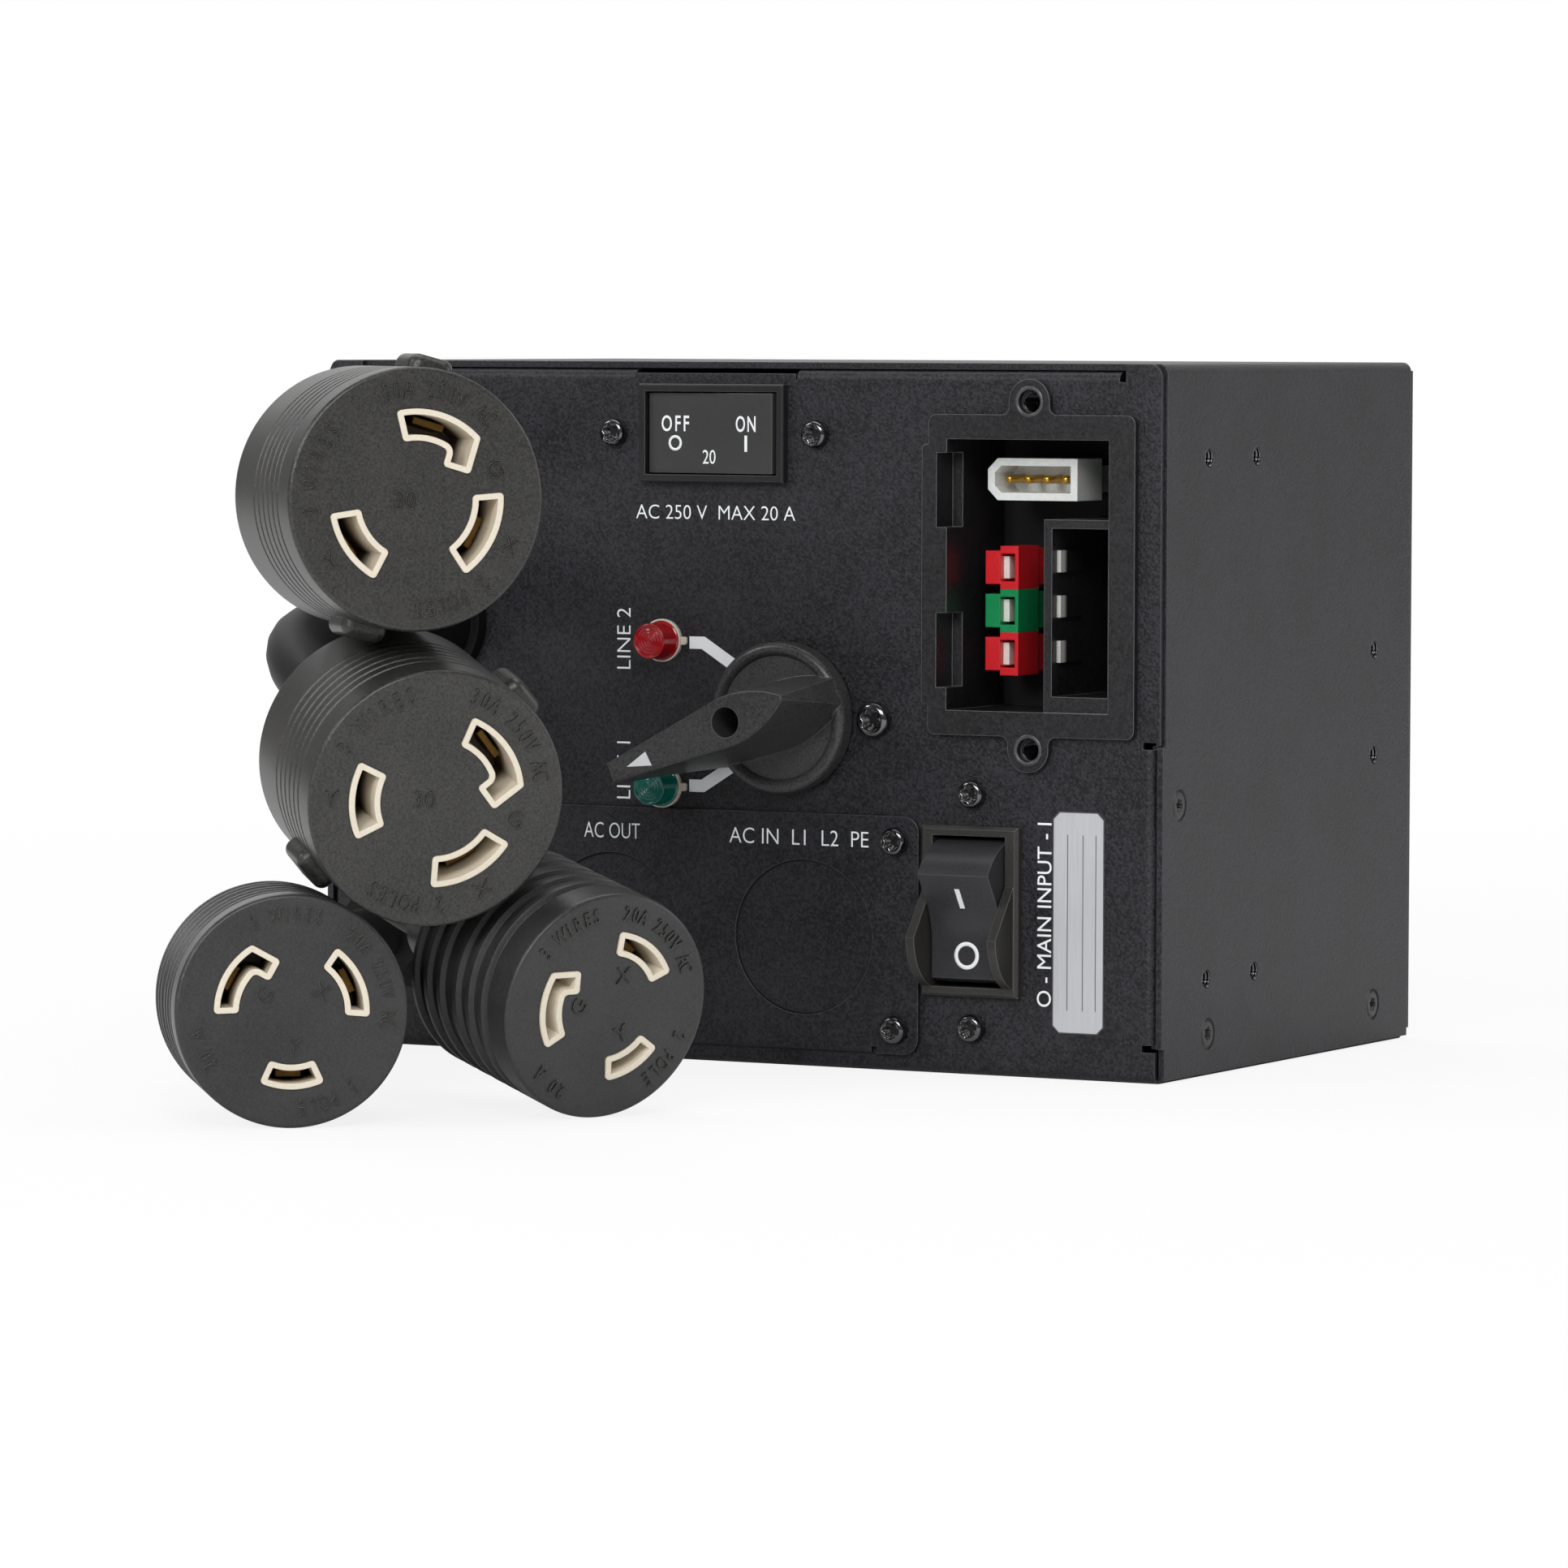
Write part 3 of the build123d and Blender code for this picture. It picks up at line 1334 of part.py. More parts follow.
for number, (make, centre, azimuth, elevation, key) in stack.items():
    out = connector(number, make, centre, azimuth, elevation, key)
    gland_index, gland_run, bends, connector_run = routes[number]
    gland_z = gland_points[gland_index][1]

    # gland: flange and tapered nose in front of the panel, thread through it, lock nut behind it
    with BuildPart() as cord_gland:
        with BuildSketch(Plane(origin=(gland_x, front_y, gland_z), x_dir=(1, 0, 0), z_dir=(0, 0, 1))):
            with BuildLine():
                Polyline(
                    (0, sheet + gland_nut_depth),
                    (gland_thread_radius, sheet + gland_nut_depth),
                    (gland_thread_radius, 0),
                    (gland_radius, 0),
                    (gland_radius, -gland_flange),
                    (gland_root_radius, -gland_flange),
                    (gland_nose_radius, -gland_length),
                    (0, -gland_length),
                    close=True,
                )
            make_face()
        revolve(axis=Axis((gland_x, front_y, gland_z), (0, 1, 0)))
        with BuildSketch(FRONT.offset(-sheet)):
            with Locations((gland_x, gland_z)):
                RegularPolygon(gland_nut_radius, 6)
        extrude(amount=-gland_nut_depth)
    save(cord_gland, f"cord_gland_{number}")

    # cord: a plain round lead from the gland's nose to the connector's sleeve
    nose = Vector(gland_x, front_y - gland_length, gland_z)
    sleeve = centre - out * make.length
    route = [
        nose,
        nose - Vector(0, gland_run, 0),
        *[Vector(*bend_point) for bend_point in bends],
        sleeve - out * connector_run,
        sleeve,
    ]
    radii = []
    for before, corner, after in zip(route, route[1:], route[2:]):
        arriving = corner - before
        leaving = after - corner
        half_turn = math.radians(arriving.get_angle(leaving) / 2)
        radii.append(0.45 * min(arriving.length, leaving.length) / math.tan(half_turn))
    with BuildPart() as cord:
        with BuildLine() as path:
            FilletPolyline(*route, radius=radii)
        with BuildSketch(Plane(origin=nose, x_dir=(1, 0, 0), z_dir=(0, -1, 0))):
            Circle(make.cord / 2)
        sweep()
    save(cord, f"cord_{number}")
    section_area = math.pi * (make.cord / 2) ** 2
    path_length = sum(e.length for e in path.edges())
    print(
        f"cord {number}: length {path_length:.1f}, volume over section times length "
        f"{cord.part.volume / (section_area * path_length):.4f}, radii {[round(r, 1) for r in radii]}"
    )
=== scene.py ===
"""Looks of a rack maintenance bypass switch: finishes, print, screws, lenses, letters and cords."""

import logging
from dataclasses import dataclass, replace
from enum import Enum
from math import atan, copysign, cos, pi, radians, sin
from typing import ClassVar

import bpy
import numpy as np
from mathutils import Matrix, Vector


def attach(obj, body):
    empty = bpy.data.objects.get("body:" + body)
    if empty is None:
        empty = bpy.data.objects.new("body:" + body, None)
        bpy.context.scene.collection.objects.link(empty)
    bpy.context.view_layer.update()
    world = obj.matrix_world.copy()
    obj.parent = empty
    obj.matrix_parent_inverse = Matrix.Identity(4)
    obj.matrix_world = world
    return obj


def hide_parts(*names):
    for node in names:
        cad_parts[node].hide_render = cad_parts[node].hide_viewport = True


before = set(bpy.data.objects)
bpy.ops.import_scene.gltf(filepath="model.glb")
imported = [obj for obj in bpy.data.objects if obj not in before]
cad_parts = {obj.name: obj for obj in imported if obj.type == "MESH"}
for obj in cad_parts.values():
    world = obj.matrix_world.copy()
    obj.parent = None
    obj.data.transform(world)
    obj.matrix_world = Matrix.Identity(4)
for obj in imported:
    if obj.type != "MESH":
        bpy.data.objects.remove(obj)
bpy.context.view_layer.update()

log = logging.getLogger("bypass_switch")

Mesh, Tree, Socket = bpy.types.Mesh, bpy.types.NodeTree, bpy.types.NodeSocket
Point = tuple[float, float, float]

MM = 0.001
FRONT_Y = -55.3
PLATE_THICK = 1.0
PLATE_Y = FRONT_Y - PLATE_THICK
BYPASS_X = 11.2
BYPASS_Z = 64.6
BYPASS_SCREW_REACH = 18.5
LAMP_OFFSET = 13.6
WALL_X = 88.2
EARS = ((61.7, 123.1), (61.7, 59.9))
TAPPED = (
    (-36.5, 17.9), (-36.5, 112.9), (-15.9, 17.9), (-15.9, 112.9), (37.7, 55.4), (37.7, 75.4),
)
SKIRT_GAP = 0.5
GRIP_HEIGHT = 23.2
PRINT_LIFT = 0.02
PRINT_THICK = 0.03
# How far a rounded normal agrees with the flat one where a painted edge highlight is full, and where it ends
EDGE_FULL = 0.8
EDGE_END = 0.99
# Lobe shares of a screw recess, from its lip to its bottom
WELL_LOBES = [0.13, 0.16, 0.17, 0.17, 0.1]


class Body(Enum):
    """The bodies that pieces ride on."""

    CHASSIS = "chassis"
    HANDLE = "bypass_handle"
    BREAKER = "breaker_rocker"
    SWITCH = "switch_rocker"


class Size(Enum):
    """The two sizes of receptacle."""

    LARGE = "large"
    SMALL = "small"


def linear(code: str) -> tuple[float, float, float, float]:
    """Turns an sRGB hex colour into linear light.

    Args:
        code: Six hex digits, with or without a leading #.

    Returns:
        Red, green, blue and an alpha of 1.
    """
    digits = code.lstrip("#")
    shares = [int(digits[i : i + 2], 16) / 255 for i in (0, 2, 4)]
    values = [s / 12.92 if s <= 0.04045 else ((s + 0.055) / 1.055) ** 2.4 for s in shares]
    return values[0], values[1], values[2], 1.0


def add(tree: Tree, kind: str, settings: dict | None = None, inputs: dict | None = None) -> bpy.types.Node:
    """Adds one shader node.

    Args:
        tree: The node tree that gets it.
        kind: Blender's type name of the node, without its leading ShaderNode.
        settings: Properties to set on the node.
        inputs: Values or output sockets for its inputs, by name or index.

    Returns:
        The new node.
    """
    made = tree.nodes.new(f"ShaderNode{kind}")
    for key, value in (settings or {}).items():
        setattr(made, key, value)
    for key, value in (inputs or {}).items():
        if isinstance(value, Socket):
            tree.links.new(value, made.inputs[key])
        else:
            made.inputs[key].default_value = value
    return made


def put(name: str, data: bpy.types.ID) -> bpy.types.Object:
    """Adds an object at the origin to the scene.

    Args:
        name: The object's name.
        data: The mesh, curve, lamp or camera that it shows.

    Returns:
        The new object.
    """
    made = bpy.data.objects.new(name, data)
    bpy.context.scene.collection.objects.link(made)
    return made


@dataclass(frozen=True)
class Finish:
    """A skin of one material: mottled colour, grain that roughens it and rounded edges.

    Sizes are in millimetres. The grain's spacing sets the noise scale, and its depth the bump. Edges have
    a painted highlight: a line in the edge colour, where its share is set.
    """

    name: str
    colour: str
    mottle: str
    roughness: float
    rough_spread: float = 0.06
    metallic: float = 0.0
    specular: float = 0.5
    grain: float = 0.6
    grain_depth: float = 0.02
    mottle_size: float = 18.0
    edge: float = 0.3
    edge_highlight: str = ""
    edge_highlight_share: float = 0.0
    grain_share: float = 0.55
    ramp: float = 0.17
    coat: float = 0.0
    subsurface: float = 0.0
    stretch: Point = (1.0, 1.0, 1.0)

    def tint(self, tree: Tree, place: Socket, share: Socket) -> Socket:
        """Makes the colour: a ramp between the finish's two colours.

        Args:
            tree: The material's node tree.
            place: Object coordinates.
            share: How far along the ramp each point is.

        Returns:
            The colour's socket.
        """
        colours = add(tree, "ValToRGB", inputs={"Fac": share})
        colours.color_ramp.elements[0].position = 0.5 - self.ramp
        colours.color_ramp.elements[0].color = linear(self.colour)
        colours.color_ramp.elements[1].position = 0.5 + self.ramp
        colours.color_ramp.elements[1].color = linear(self.mottle)
        return colours.outputs["Color"]

    def paint_edge_highlight(self, tree: Tree, colour: Socket, rounded: Socket) -> Socket:
        """Paints a highlight into the colour along edges, where the rounded normal turns away from the flat
        one.

        Args:
            tree: The material's node tree.
            colour: The colour so far.
            rounded: The normal with rounded edges.

        Returns:
            The socket of the colour with its painted edge highlight.
        """
        flat = add(tree, "NewGeometry").outputs["Normal"]
        facing = add(tree, "VectorMath", {"operation": "DOT_PRODUCT"}, {0: rounded, 1: flat})
        line = add(
            tree, "MapRange",
            inputs={"Value": facing.outputs["Value"], "From Min": EDGE_FULL, "From Max": EDGE_END,
                    "To Min": self.edge_highlight_share, "To Max": 0.0},
        )
        mixed = add(
            tree, "Mix", {"data_type": "RGBA"},
            {0: line.outputs["Result"], 6: colour, 7: linear(self.edge_highlight)},
        )
        return mixed.outputs[2]

    def build(self) -> bpy.types.Material:
        """Makes the node material, or returns it if it was made before."""
        known = bpy.data.materials.get(self.name)
        if known:
            return known
        made = bpy.data.materials.new(self.name)
        made.use_nodes = True
        tree = made.node_tree
        tree.nodes.clear()
        place = add(tree, "TexCoord").outputs["Object"]
        stretched = add(tree, "Mapping", inputs={"Vector": place, "Scale": self.stretch}).outputs["Vector"]
        patches = add(
            tree, "TexNoise",
            inputs={"Vector": place, "Scale": 1 / (self.mottle_size * MM), "Detail": 5.0, "Roughness": 0.6},
        ).outputs["Fac"]
        grains = add(
            tree, "TexNoise",
            inputs={"Vector": stretched, "Scale": 1 / (self.grain * MM), "Detail": 3.0, "Roughness": 0.55},
        ).outputs["Fac"]
        coarse = add(tree, "Math", {"operation": "MULTIPLY"}, {0: patches, 1: 1 - self.grain_share})
        share = add(
            tree, "Math", {"operation": "MULTIPLY_ADD"},
            {0: grains, 1: self.grain_share, 2: coarse.outputs[0]},
        )
        rounded = add(tree, "Bevel", {"samples": 8}, {"Radius": self.edge * MM})
        colour = self.tint(tree, place, share.outputs[0])
        # painted highlight along the edges, where a share is set
        if self.edge_highlight_share:
            colour = self.paint_edge_highlight(tree, colour, rounded.outputs["Normal"])
        rough = add(
            tree, "MapRange",
            inputs={
                "Value": share.outputs[0], "From Min": 0.2, "From Max": 0.8,
                "To Min": self.roughness - self.rough_spread, "To Max": self.roughness + self.rough_spread,
            },
        )
        relief = add(
            tree, "Bump",
            inputs={
                "Height": grains, "Distance": self.grain_depth * MM, "Strength": 1.0,
                "Normal": rounded.outputs["Normal"],
            },
        )
        shader = add(
            tree, "BsdfPrincipled",
            inputs={
                "Base Color": colour, "Roughness": rough.outputs["Result"],
                "Metallic": self.metallic, "Normal": relief.outputs["Normal"],
                "Specular IOR Level": self.specular, "Coat Weight": self.coat, "Coat Roughness": 0.12,
                "Subsurface Weight": self.subsurface, "Subsurface Scale": 0.001,
            },
        )
        add(tree, "OutputMaterial", inputs={"Surface": shader.outputs["BSDF"]})
        return made


@dataclass(frozen=True)
class DepthShadedFinish(Finish):
    """A skin with painted shade that darkens it with depth, such as a core's cream, which is painted brown
    down in the slots.
    """

    centre: Point = (0.0, 0.0, 0.0)
    out: Point = (0.0, -1.0, 0.0)
    # painted shade: its colour deep down, and the depths in millimetres where it begins and where it is full
    dark: str = "5a4626"
    dark_from: float = 5.5
    dark_to: float = 10.0

    def tint(self, tree: Tree, place: Socket, share: Socket) -> Socket:
        """Blends from the bright colour to the painted shade with the depth, measured along the way out."""
        bright = super().tint(tree, place, share)
        level = add(tree, "VectorMath", {"operation": "DOT_PRODUCT"}, {0: place, 1: self.out})
        top = Vector(self.centre).dot(Vector(self.out))
        depth = add(
            tree, "MapRange",
            inputs={
                "Value": level.outputs["Value"], "From Min": (top - self.dark_to) * MM,
                "From Max": (top - self.dark_from) * MM,
            },
        )
        mixed = add(
            tree, "Mix", {"data_type": "RGBA"},
            {0: depth.outputs["Result"], 6: linear(self.dark), 7: bright},
        )
        return mixed.outputs[2]


# Tinned spring fingers seen down a tube: bright at their tips, with painted shade further in
FINGER_TIN = DepthShadedFinish(
    "tinned_bronze_painted_shade", "b4b3ae", "cfcec9", 0.4, metallic=0.2, grain=0.5, grain_depth=0.006,
    centre=(66.6, -54.3, 86.0), dark="1a1a1b", dark_from=1.4, dark_to=2.6,
)
# Steel sheet sprayed with fine-textured powder and baked: a dull black skin of close pebbles that
# scatters light; the soft bright lines along the folds are painted highlights
POWDER_COAT = Finish(
    "textured_powder_coat_on_steel", "07070a", "2b2a30", 0.42, grain=0.5, grain_depth=0.12, specular=0.4,
    edge=0.3, edge_highlight="6a696e", edge_highlight_share=0.55, grain_share=0.75, ramp=0.1,
)
# Steel screws with black chrome over nickel: near-black mirror heads with small hard highlights
BLACK_CHROME = Finish(
    "black_chrome_plated_steel", "666568", "767578", 0.13, metallic=1.0, grain=1.6, grain_depth=0.0005,
    edge=0.1,
)
# The bottom of a screw's recess: an almost black lining that is painted shade
RECESS_SHADE = Finish(
    "screw_recess_painted_shade", "0a0a0b", "151516", 0.35, grain=0.6, grain_depth=0.004, edge=0.05,
)
# Painted shadow at the foot of a knock-out's step: a thin near-black ring
KNOCKOUT_SHADOW = Finish(
    "knockout_painted_shadow", "030303", "0a0a0a", 0.6, grain=0.6, grain_depth=0.004, edge=0.02,
)
# Countersunk screws painted over with the sheet: the same black, a little smoother, with painted edge
# highlights
PAINTED_SCREW = Finish(
    "painted_steel_screw", "141416", "26262a", 0.36, grain=0.8, grain_depth=0.02, specular=0.5, edge=0.12,
    edge_highlight="7c7b78", edge_highlight_share=0.6,
)
# Polycarbonate breaker moulding with a spark-eroded texture: even satin black, with painted edge highlights
BREAKER_PLASTIC = Finish(
    "spark_textured_polycarbonate_black", "151517", "202022", 0.36, grain=0.4, grain_depth=0.008,
    specular=0.45, edge=0.22, edge_highlight="7a7a7c", edge_highlight_share=0.6,
)
# The breaker's rocker from a smoother tool: satin, a shade lighter than its frame, with painted edge
# highlights
BREAKER_ROCKER = Finish(
    "satin_moulded_polycarbonate_black", "343434", "3e3e3d", 0.36, grain=0.3, grain_depth=0.005,
    specular=0.45, edge=0.2, edge_highlight="8a8a8a", edge_highlight_share=0.5,
)
# Glass-filled nylon handle: dark grey, slightly rough, with thin painted highlights on its edges
HANDLE_NYLON = Finish(
    "glass_filled_nylon_dark_grey", "2a2a2a", "4a4a4a", 0.3, grain=0.4, grain_depth=0.04, specular=0.45,
    edge=0.28, edge_highlight="9a9a9a", edge_highlight_share=0.5, grain_share=0.75, ramp=0.14,
)
# Nylon switch case with a fine matt cheek: warm black, with painted highlights along its edges
SWITCH_NYLON = Finish(
    "moulded_nylon_black", "272624", "393835", 0.36, grain=0.4, grain_depth=0.012, specular=0.5, edge=0.25,
    edge_highlight="8a8984", edge_highlight_share=0.55,
)
# The switch's rocker from a polished tool: satin black with a soft sheen and painted edge highlights
SWITCH_ROCKER = Finish(
    "satin_moulded_nylon_black", "2c2c2f", "38383b", 0.3, grain=0.4, grain_depth=0.01, specular=0.5, edge=0.3,
    edge_highlight="7a7a7c", edge_highlight_share=0.4,
)
# Flame-proof ABS with a leather-fine tool texture: speckled dull black, with painted highlights on its edges
BEZEL_ABS = Finish(
    "textured_abs_black", "0d0d0f", "252528", 0.4, grain=0.6, grain_depth=0.05, specular=0.45, edge=0.22,
    edge_highlight="8c8c8e", edge_highlight_share=0.75, grain_share=0.75, ramp=0.14,
)
# ABS rolled over at the ear holes: a rim whose brighter colour is a painted highlight
EYELET_ABS = Finish(
    "abs_rim_painted_highlight", "3a3a3c", "4c4c4e", 0.26, grain=0.6, grain_depth=0.01, specular=0.6, edge=0.05,
)
# Plain moulded ABS in the recess and glands: dead black
RECESS_ABS = Finish("moulded_abs_black", "080809", "0e0e0f", 0.5, grain=0.6, grain_depth=0.01, specular=0.25)
# Receptacle shells of grained nylon: speckled charcoal with a low sheen and faint painted edge highlights
SHELL_NYLON = Finish(
    "grained_nylon_charcoal", "1b1b1a", "3d3c3a", 0.36, grain=0.42, grain_depth=0.05, specular=0.55, edge=0.2,
    edge_highlight="5c5b58", edge_highlight_share=0.3, grain_share=0.75, ramp=0.14,
)
# Letters raised on the receptacle faces: smoother than the grain; their darker colour is painted shade and
# their bright edges are painted highlights
FACE_LETTERS = Finish(
    "raised_lettering_painted_shade", "0c0c0c", "151514", 0.28, grain=0.5, grain_depth=0.006, specular=0.55, edge=0.1,
    edge_highlight="8c8982", edge_highlight_share=0.85,
)
# Rubber-skinned small receptacles: finer and duller than the nylon ones, with faint painted edge highlights
SHELL_RUBBER = Finish(
    "moulded_elastomer_black", "232323", "3a3a3a", 0.38, grain=0.45, grain_depth=0.035, specular=0.5,
    edge=0.2, edge_highlight="5c5c5c", edge_highlight_share=0.3,
)
# Colours of the cream thermoset cores: warm off-white, satin
CREAM, CREAM_LIGHT = "ddd2bd", "e8dfce"
# Stamped brass: a dull yellow shine
BRASS = Finish("stamped_brass", "6a4c1c", "8c6a2c", 0.34, metallic=1.0, grain=0.4, grain_depth=0.004)
# Brass contacts down in the slots: brown with a weak gleam, darkened by painted shade
SHADED_BRASS = Finish("brass_painted_shade", "57411c", "7a5c28", 0.42, metallic=0.8, grain=0.4, grain_depth=0.004)
# Gold flash on brass pins: small warm sparks
GILT = Finish("gilt_brass_pin", "c08a2c", "dcae4e", 0.22, metallic=1.0, grain=0.5, grain_depth=0.002)
# Tin on copper, slightly frosted: pale silver that stays bright in shade
TINNED = Finish("tinned_copper", "e2ddd6", "f6f3ee", 0.36, metallic=0.2, grain=0.5, grain_depth=0.006)
# Clear zinc plate: cool mid-grey metal
ZINC = Finish("zinc_plated_steel", "8f8f8c", "a9a9a6", 0.35, metallic=1.0, grain=0.5, grain_depth=0.004)
# Natural nylon: milky, light soaks a little way in
NATURAL_NYLON = Finish(
    "natural_nylon", "d3d6d2", "e6e8e5", 0.42, grain=0.5, grain_depth=0.005, subsurface=0.25, edge=0.25,
)
# Self-coloured polycarbonate housings: strong flat colour, satin
RED_POLYCARBONATE = Finish(
    "moulded_polycarbonate_red", "c8141f", "dc202b", 0.34, grain=0.4, grain_depth=0.005,
)
GREEN_POLYCARBONATE = replace(
    RED_POLYCARBONATE, name="moulded_polycarbonate_green", colour="078048", mottle="0b9254",
)
# Clear coloured acrylic: deep colour under a wet-looking skin
RED_ACRYLIC = Finish(
    "clear_acrylic_red", "900610", "ab0c18", 0.16, 0.02, grain=2.0, grain_depth=0.001, coat=0.15, edge=0.05,
    specular=0.6,
)
GREEN_ACRYLIC = replace(RED_ACRYLIC, name="clear_acrylic_green", colour="03564c", mottle="066c60")
# Moulded ivory collars: off-white with a low gloss
PALE_COLLAR = Finish("moulded_collar_ivory", "cfc8b8", "e2dccd", 0.3, grain=0.5, grain_depth=0.004)
# Rubber cord jacket: matt black with a talc-dull bloom
CORD_RUBBER = Finish(
    "rubber_cord_jacket", "1a1a1b", "242425", 0.55, grain=0.7, grain_depth=0.03, specular=0.35,
)
# Screen-printed epoxy ink: flat cool white
WHITE_INK = Finish(
    "screen_printed_white_ink", "f0f4f6", "f8fafb", 0.5, grain=0.3, grain_depth=0.004, edge=0.02,
)
# Silver polyester label stock: a soft metallic grey sheet with a faint brushed line
LABEL_FOIL = Finish(
    "silver_polyester_label", "babcc0", "c6c8cc", 0.42, metallic=0.1, grain=0.5, grain_depth=0.003, edge=0.05,
    stretch=(1.0, 1.0, 0.05),
)
# Grey label ink: flat, absorbs most of the light
LABEL_INK = Finish("label_ink_grey", "4a4b4f", "55565a", 0.5, grain=0.3, grain_depth=0.003, edge=0.02)

CAD_FINISHES: dict[Finish, tuple[str, ...]] = {
    POWDER_COAT: ("chassis_tray", "top_cover", "terminal_cover_plate"),
    BREAKER_PLASTIC: ("breaker_body", "bypass_switch_block", "terminal_block", "lamp_bodies"),
    BREAKER_ROCKER: ("breaker_rocker",),
    HANDLE_NYLON: ("bypass_handle",),
    SWITCH_NYLON: ("switch_body",),
    SWITCH_ROCKER: ("switch_rocker",),
    BEZEL_ABS: ("connector_bezel",),
    RECESS_ABS: ("socket_back_plate", *(f"cord_gland_{i}" for i in range(1, 5))),
    SHELL_NYLON: ("connector_body_1", "connector_body_2", "connector_rear_1", "connector_rear_2"),
    SHELL_RUBBER: ("connector_body_3", "connector_body_4", "connector_rear_3", "connector_rear_4"),
    BRASS: ("breaker_terminals", "bypass_terminals", "switch_terminals", "earth_stud"),
    SHADED_BRASS: tuple(f"connector_contacts_{i}" for i in range(1, 5)),
    GILT: ("signal_pins",),
    TINNED: ("power_contacts",),
    FINGER_TIN: ("module_fingers",),
    ZINC: ("bypass_shaft", "handle_screw", "terminal_block_screws"),
    BLACK_CHROME: (
        "cover_side_screws", "terminal_cover_screws", "breaker_screws", "switch_screws",
        "bypass_switch_screws",
    ),
    NATURAL_NYLON: ("signal_plug",),
    RED_POLYCARBONATE: ("power_housing_upper", "power_housing_lower"),
    GREEN_POLYCARBONATE: ("power_housing_middle",),
    RED_ACRYLIC: ("red_lamp_lens",),
    GREEN_ACRYLIC: ("green_lamp_lens",),
    PALE_COLLAR: ("lamp_collars",),
}
CREASE = radians(28)
WELD_GAP = 1e-6
FLAT_WEIGHT = 100


def dress(node: bpy.types.Object, finish: Finish) -> None:
    """Gives one solid its finish, and smooth shading between creases sharper than CREASE.

    Args:
        node: The solid.
        finish: Its skin.
    """
    node.data.materials.clear()
    node.data.materials.append(finish.build())
    node.data.polygons.foreach_set("use_smooth", np.ones(len(node.data.polygons), bool))
    weld = node.modifiers.new("weld", "WELD")
    weld.merge_threshold = WELD_GAP
    split = node.modifiers.new("crease", "EDGE_SPLIT")
    split.split_angle = CREASE
    flat = node.modifiers.new("flat", "WEIGHTED_NORMAL")
    flat.weight = FLAT_WEIGHT
    log.info("%s: %s", node.name, finish.name)


def dress_frame() -> None:
    """Dresses every solid that has a finish of its own."""
    for finish, names in CAD_FINISHES.items():
        for name in names:
            dress(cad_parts[name], finish)


@dataclass(frozen=True)
class Spot:
    """A place on a surface: its point in millimetres, the way that text runs and the way out."""

    point: Point
    along: Point
    out: Point

    def matrix(self) -> Matrix:
        """Turns millimetres in the spot's own plane into metres in the shared frame."""
        out = Vector(self.out).normalized()
        along = Vector(self.along).normalized()
        up = out.cross(along)
        turn = Matrix((along, up, out)).transposed().to_4x4()
        return Matrix.Translation(Vector(self.point) * MM) @ turn @ Matrix.Scale(MM, 4)


def surface(name: str, points: np.ndarray, closed: bool = True, caps: bool = False) -> Mesh:
    """Makes a mesh from a grid of points: rows follow one parameter, columns the other.

    Args:
        name: The mesh's name.
        points: Array of rows, columns and 3 coordinates in metres.
        closed: Whether the last column joins the first.
        caps: Whether the first and the last row are filled.

    Returns:
        A smooth mesh of quads.
    """
    rows, columns = points.shape[:2]
    index = np.arange(rows * columns).reshape(rows, columns)
    after = np.roll(index, -1, axis=1)
    if not closed:
        index, after = index[:, :-1], after[:, :-1]
    quads = np.stack([index[:-1], after[:-1], after[1:], index[1:]], axis=-1).reshape(-1, 4)
    faces = quads.tolist()
    if caps:
        faces += [index[0, ::-1].tolist(), index[-1].tolist()]
    mesh = bpy.data.meshes.new(name)
    mesh.from_pydata(points.reshape(-1, 3).tolist(), [], faces)
    mesh.polygons.foreach_set("use_smooth", np.ones(len(mesh.polygons), bool))
    mesh.update()
    return mesh


def circle(count: int) -> np.ndarray:
    """Angles of evenly spaced points round a circle, in radians."""
    return np.linspace(0, 2 * np.pi, count, endpoint=False)


def revolved(
    name: str, radii: np.ndarray, rises: np.ndarray, angle: np.ndarray, spot: Spot, caps: bool = False
) -> Mesh:
    """Carries rows of points round the way out of a spot.

    Each point lies at its radius times the cosine and sine of its angle, and at its row's rise.

    Args:
        name: The mesh's name.
        radii: A column of the rows' radii in millimetres, or an array of rows and angles.
        rises: A column of the rows' heights above the spot.
        angle: Angles round the axis in radians.
        spot: The place of the axis.
        caps: Whether the first and the last row are filled.

    Returns:
        A mesh in metres.
    """
    level = rises * np.ones_like(angle)
    mesh = surface(name, np.stack([radii * np.cos(angle), radii * np.sin(angle), level], axis=-1), caps=caps)
    mesh.transform(spot.matrix())
    return mesh


def turned(
    name: str, profile: list[tuple[float, float]], spot: Spot, lobes: list[float] | None = None,
    turn: float = 0.0, segments: int = 72,
) -> Mesh:
    """Makes a turned piece: a profile carried round the way out of a spot, closed at both ends.

    The radius at each angle is the profile's radius times 1 plus the row's lobe share times the cosine
    of six angles.

    Args:
        name: The mesh's name.
        profile: Points (radius, rise) in millimetres, from the underside outwards, up, and in again.
        spot: The place of its axis.
        lobes: Lobe share of each row, or None for a plain round piece.
        turn: How far the lobes are turned, in degrees.
        segments: Points round the axis.

    Returns:
        A mesh in metres.
    """
    angle = circle(segments)
    reach, rise = np.array(profile).T[:, :, None]
    wave = np.cos(6 * (angle + radians(turn)))
    radii = reach * (1 + np.outer(lobes if lobes else np.zeros(len(reach)), wave))
    return revolved(name, radii, rise, angle, spot, caps=True)


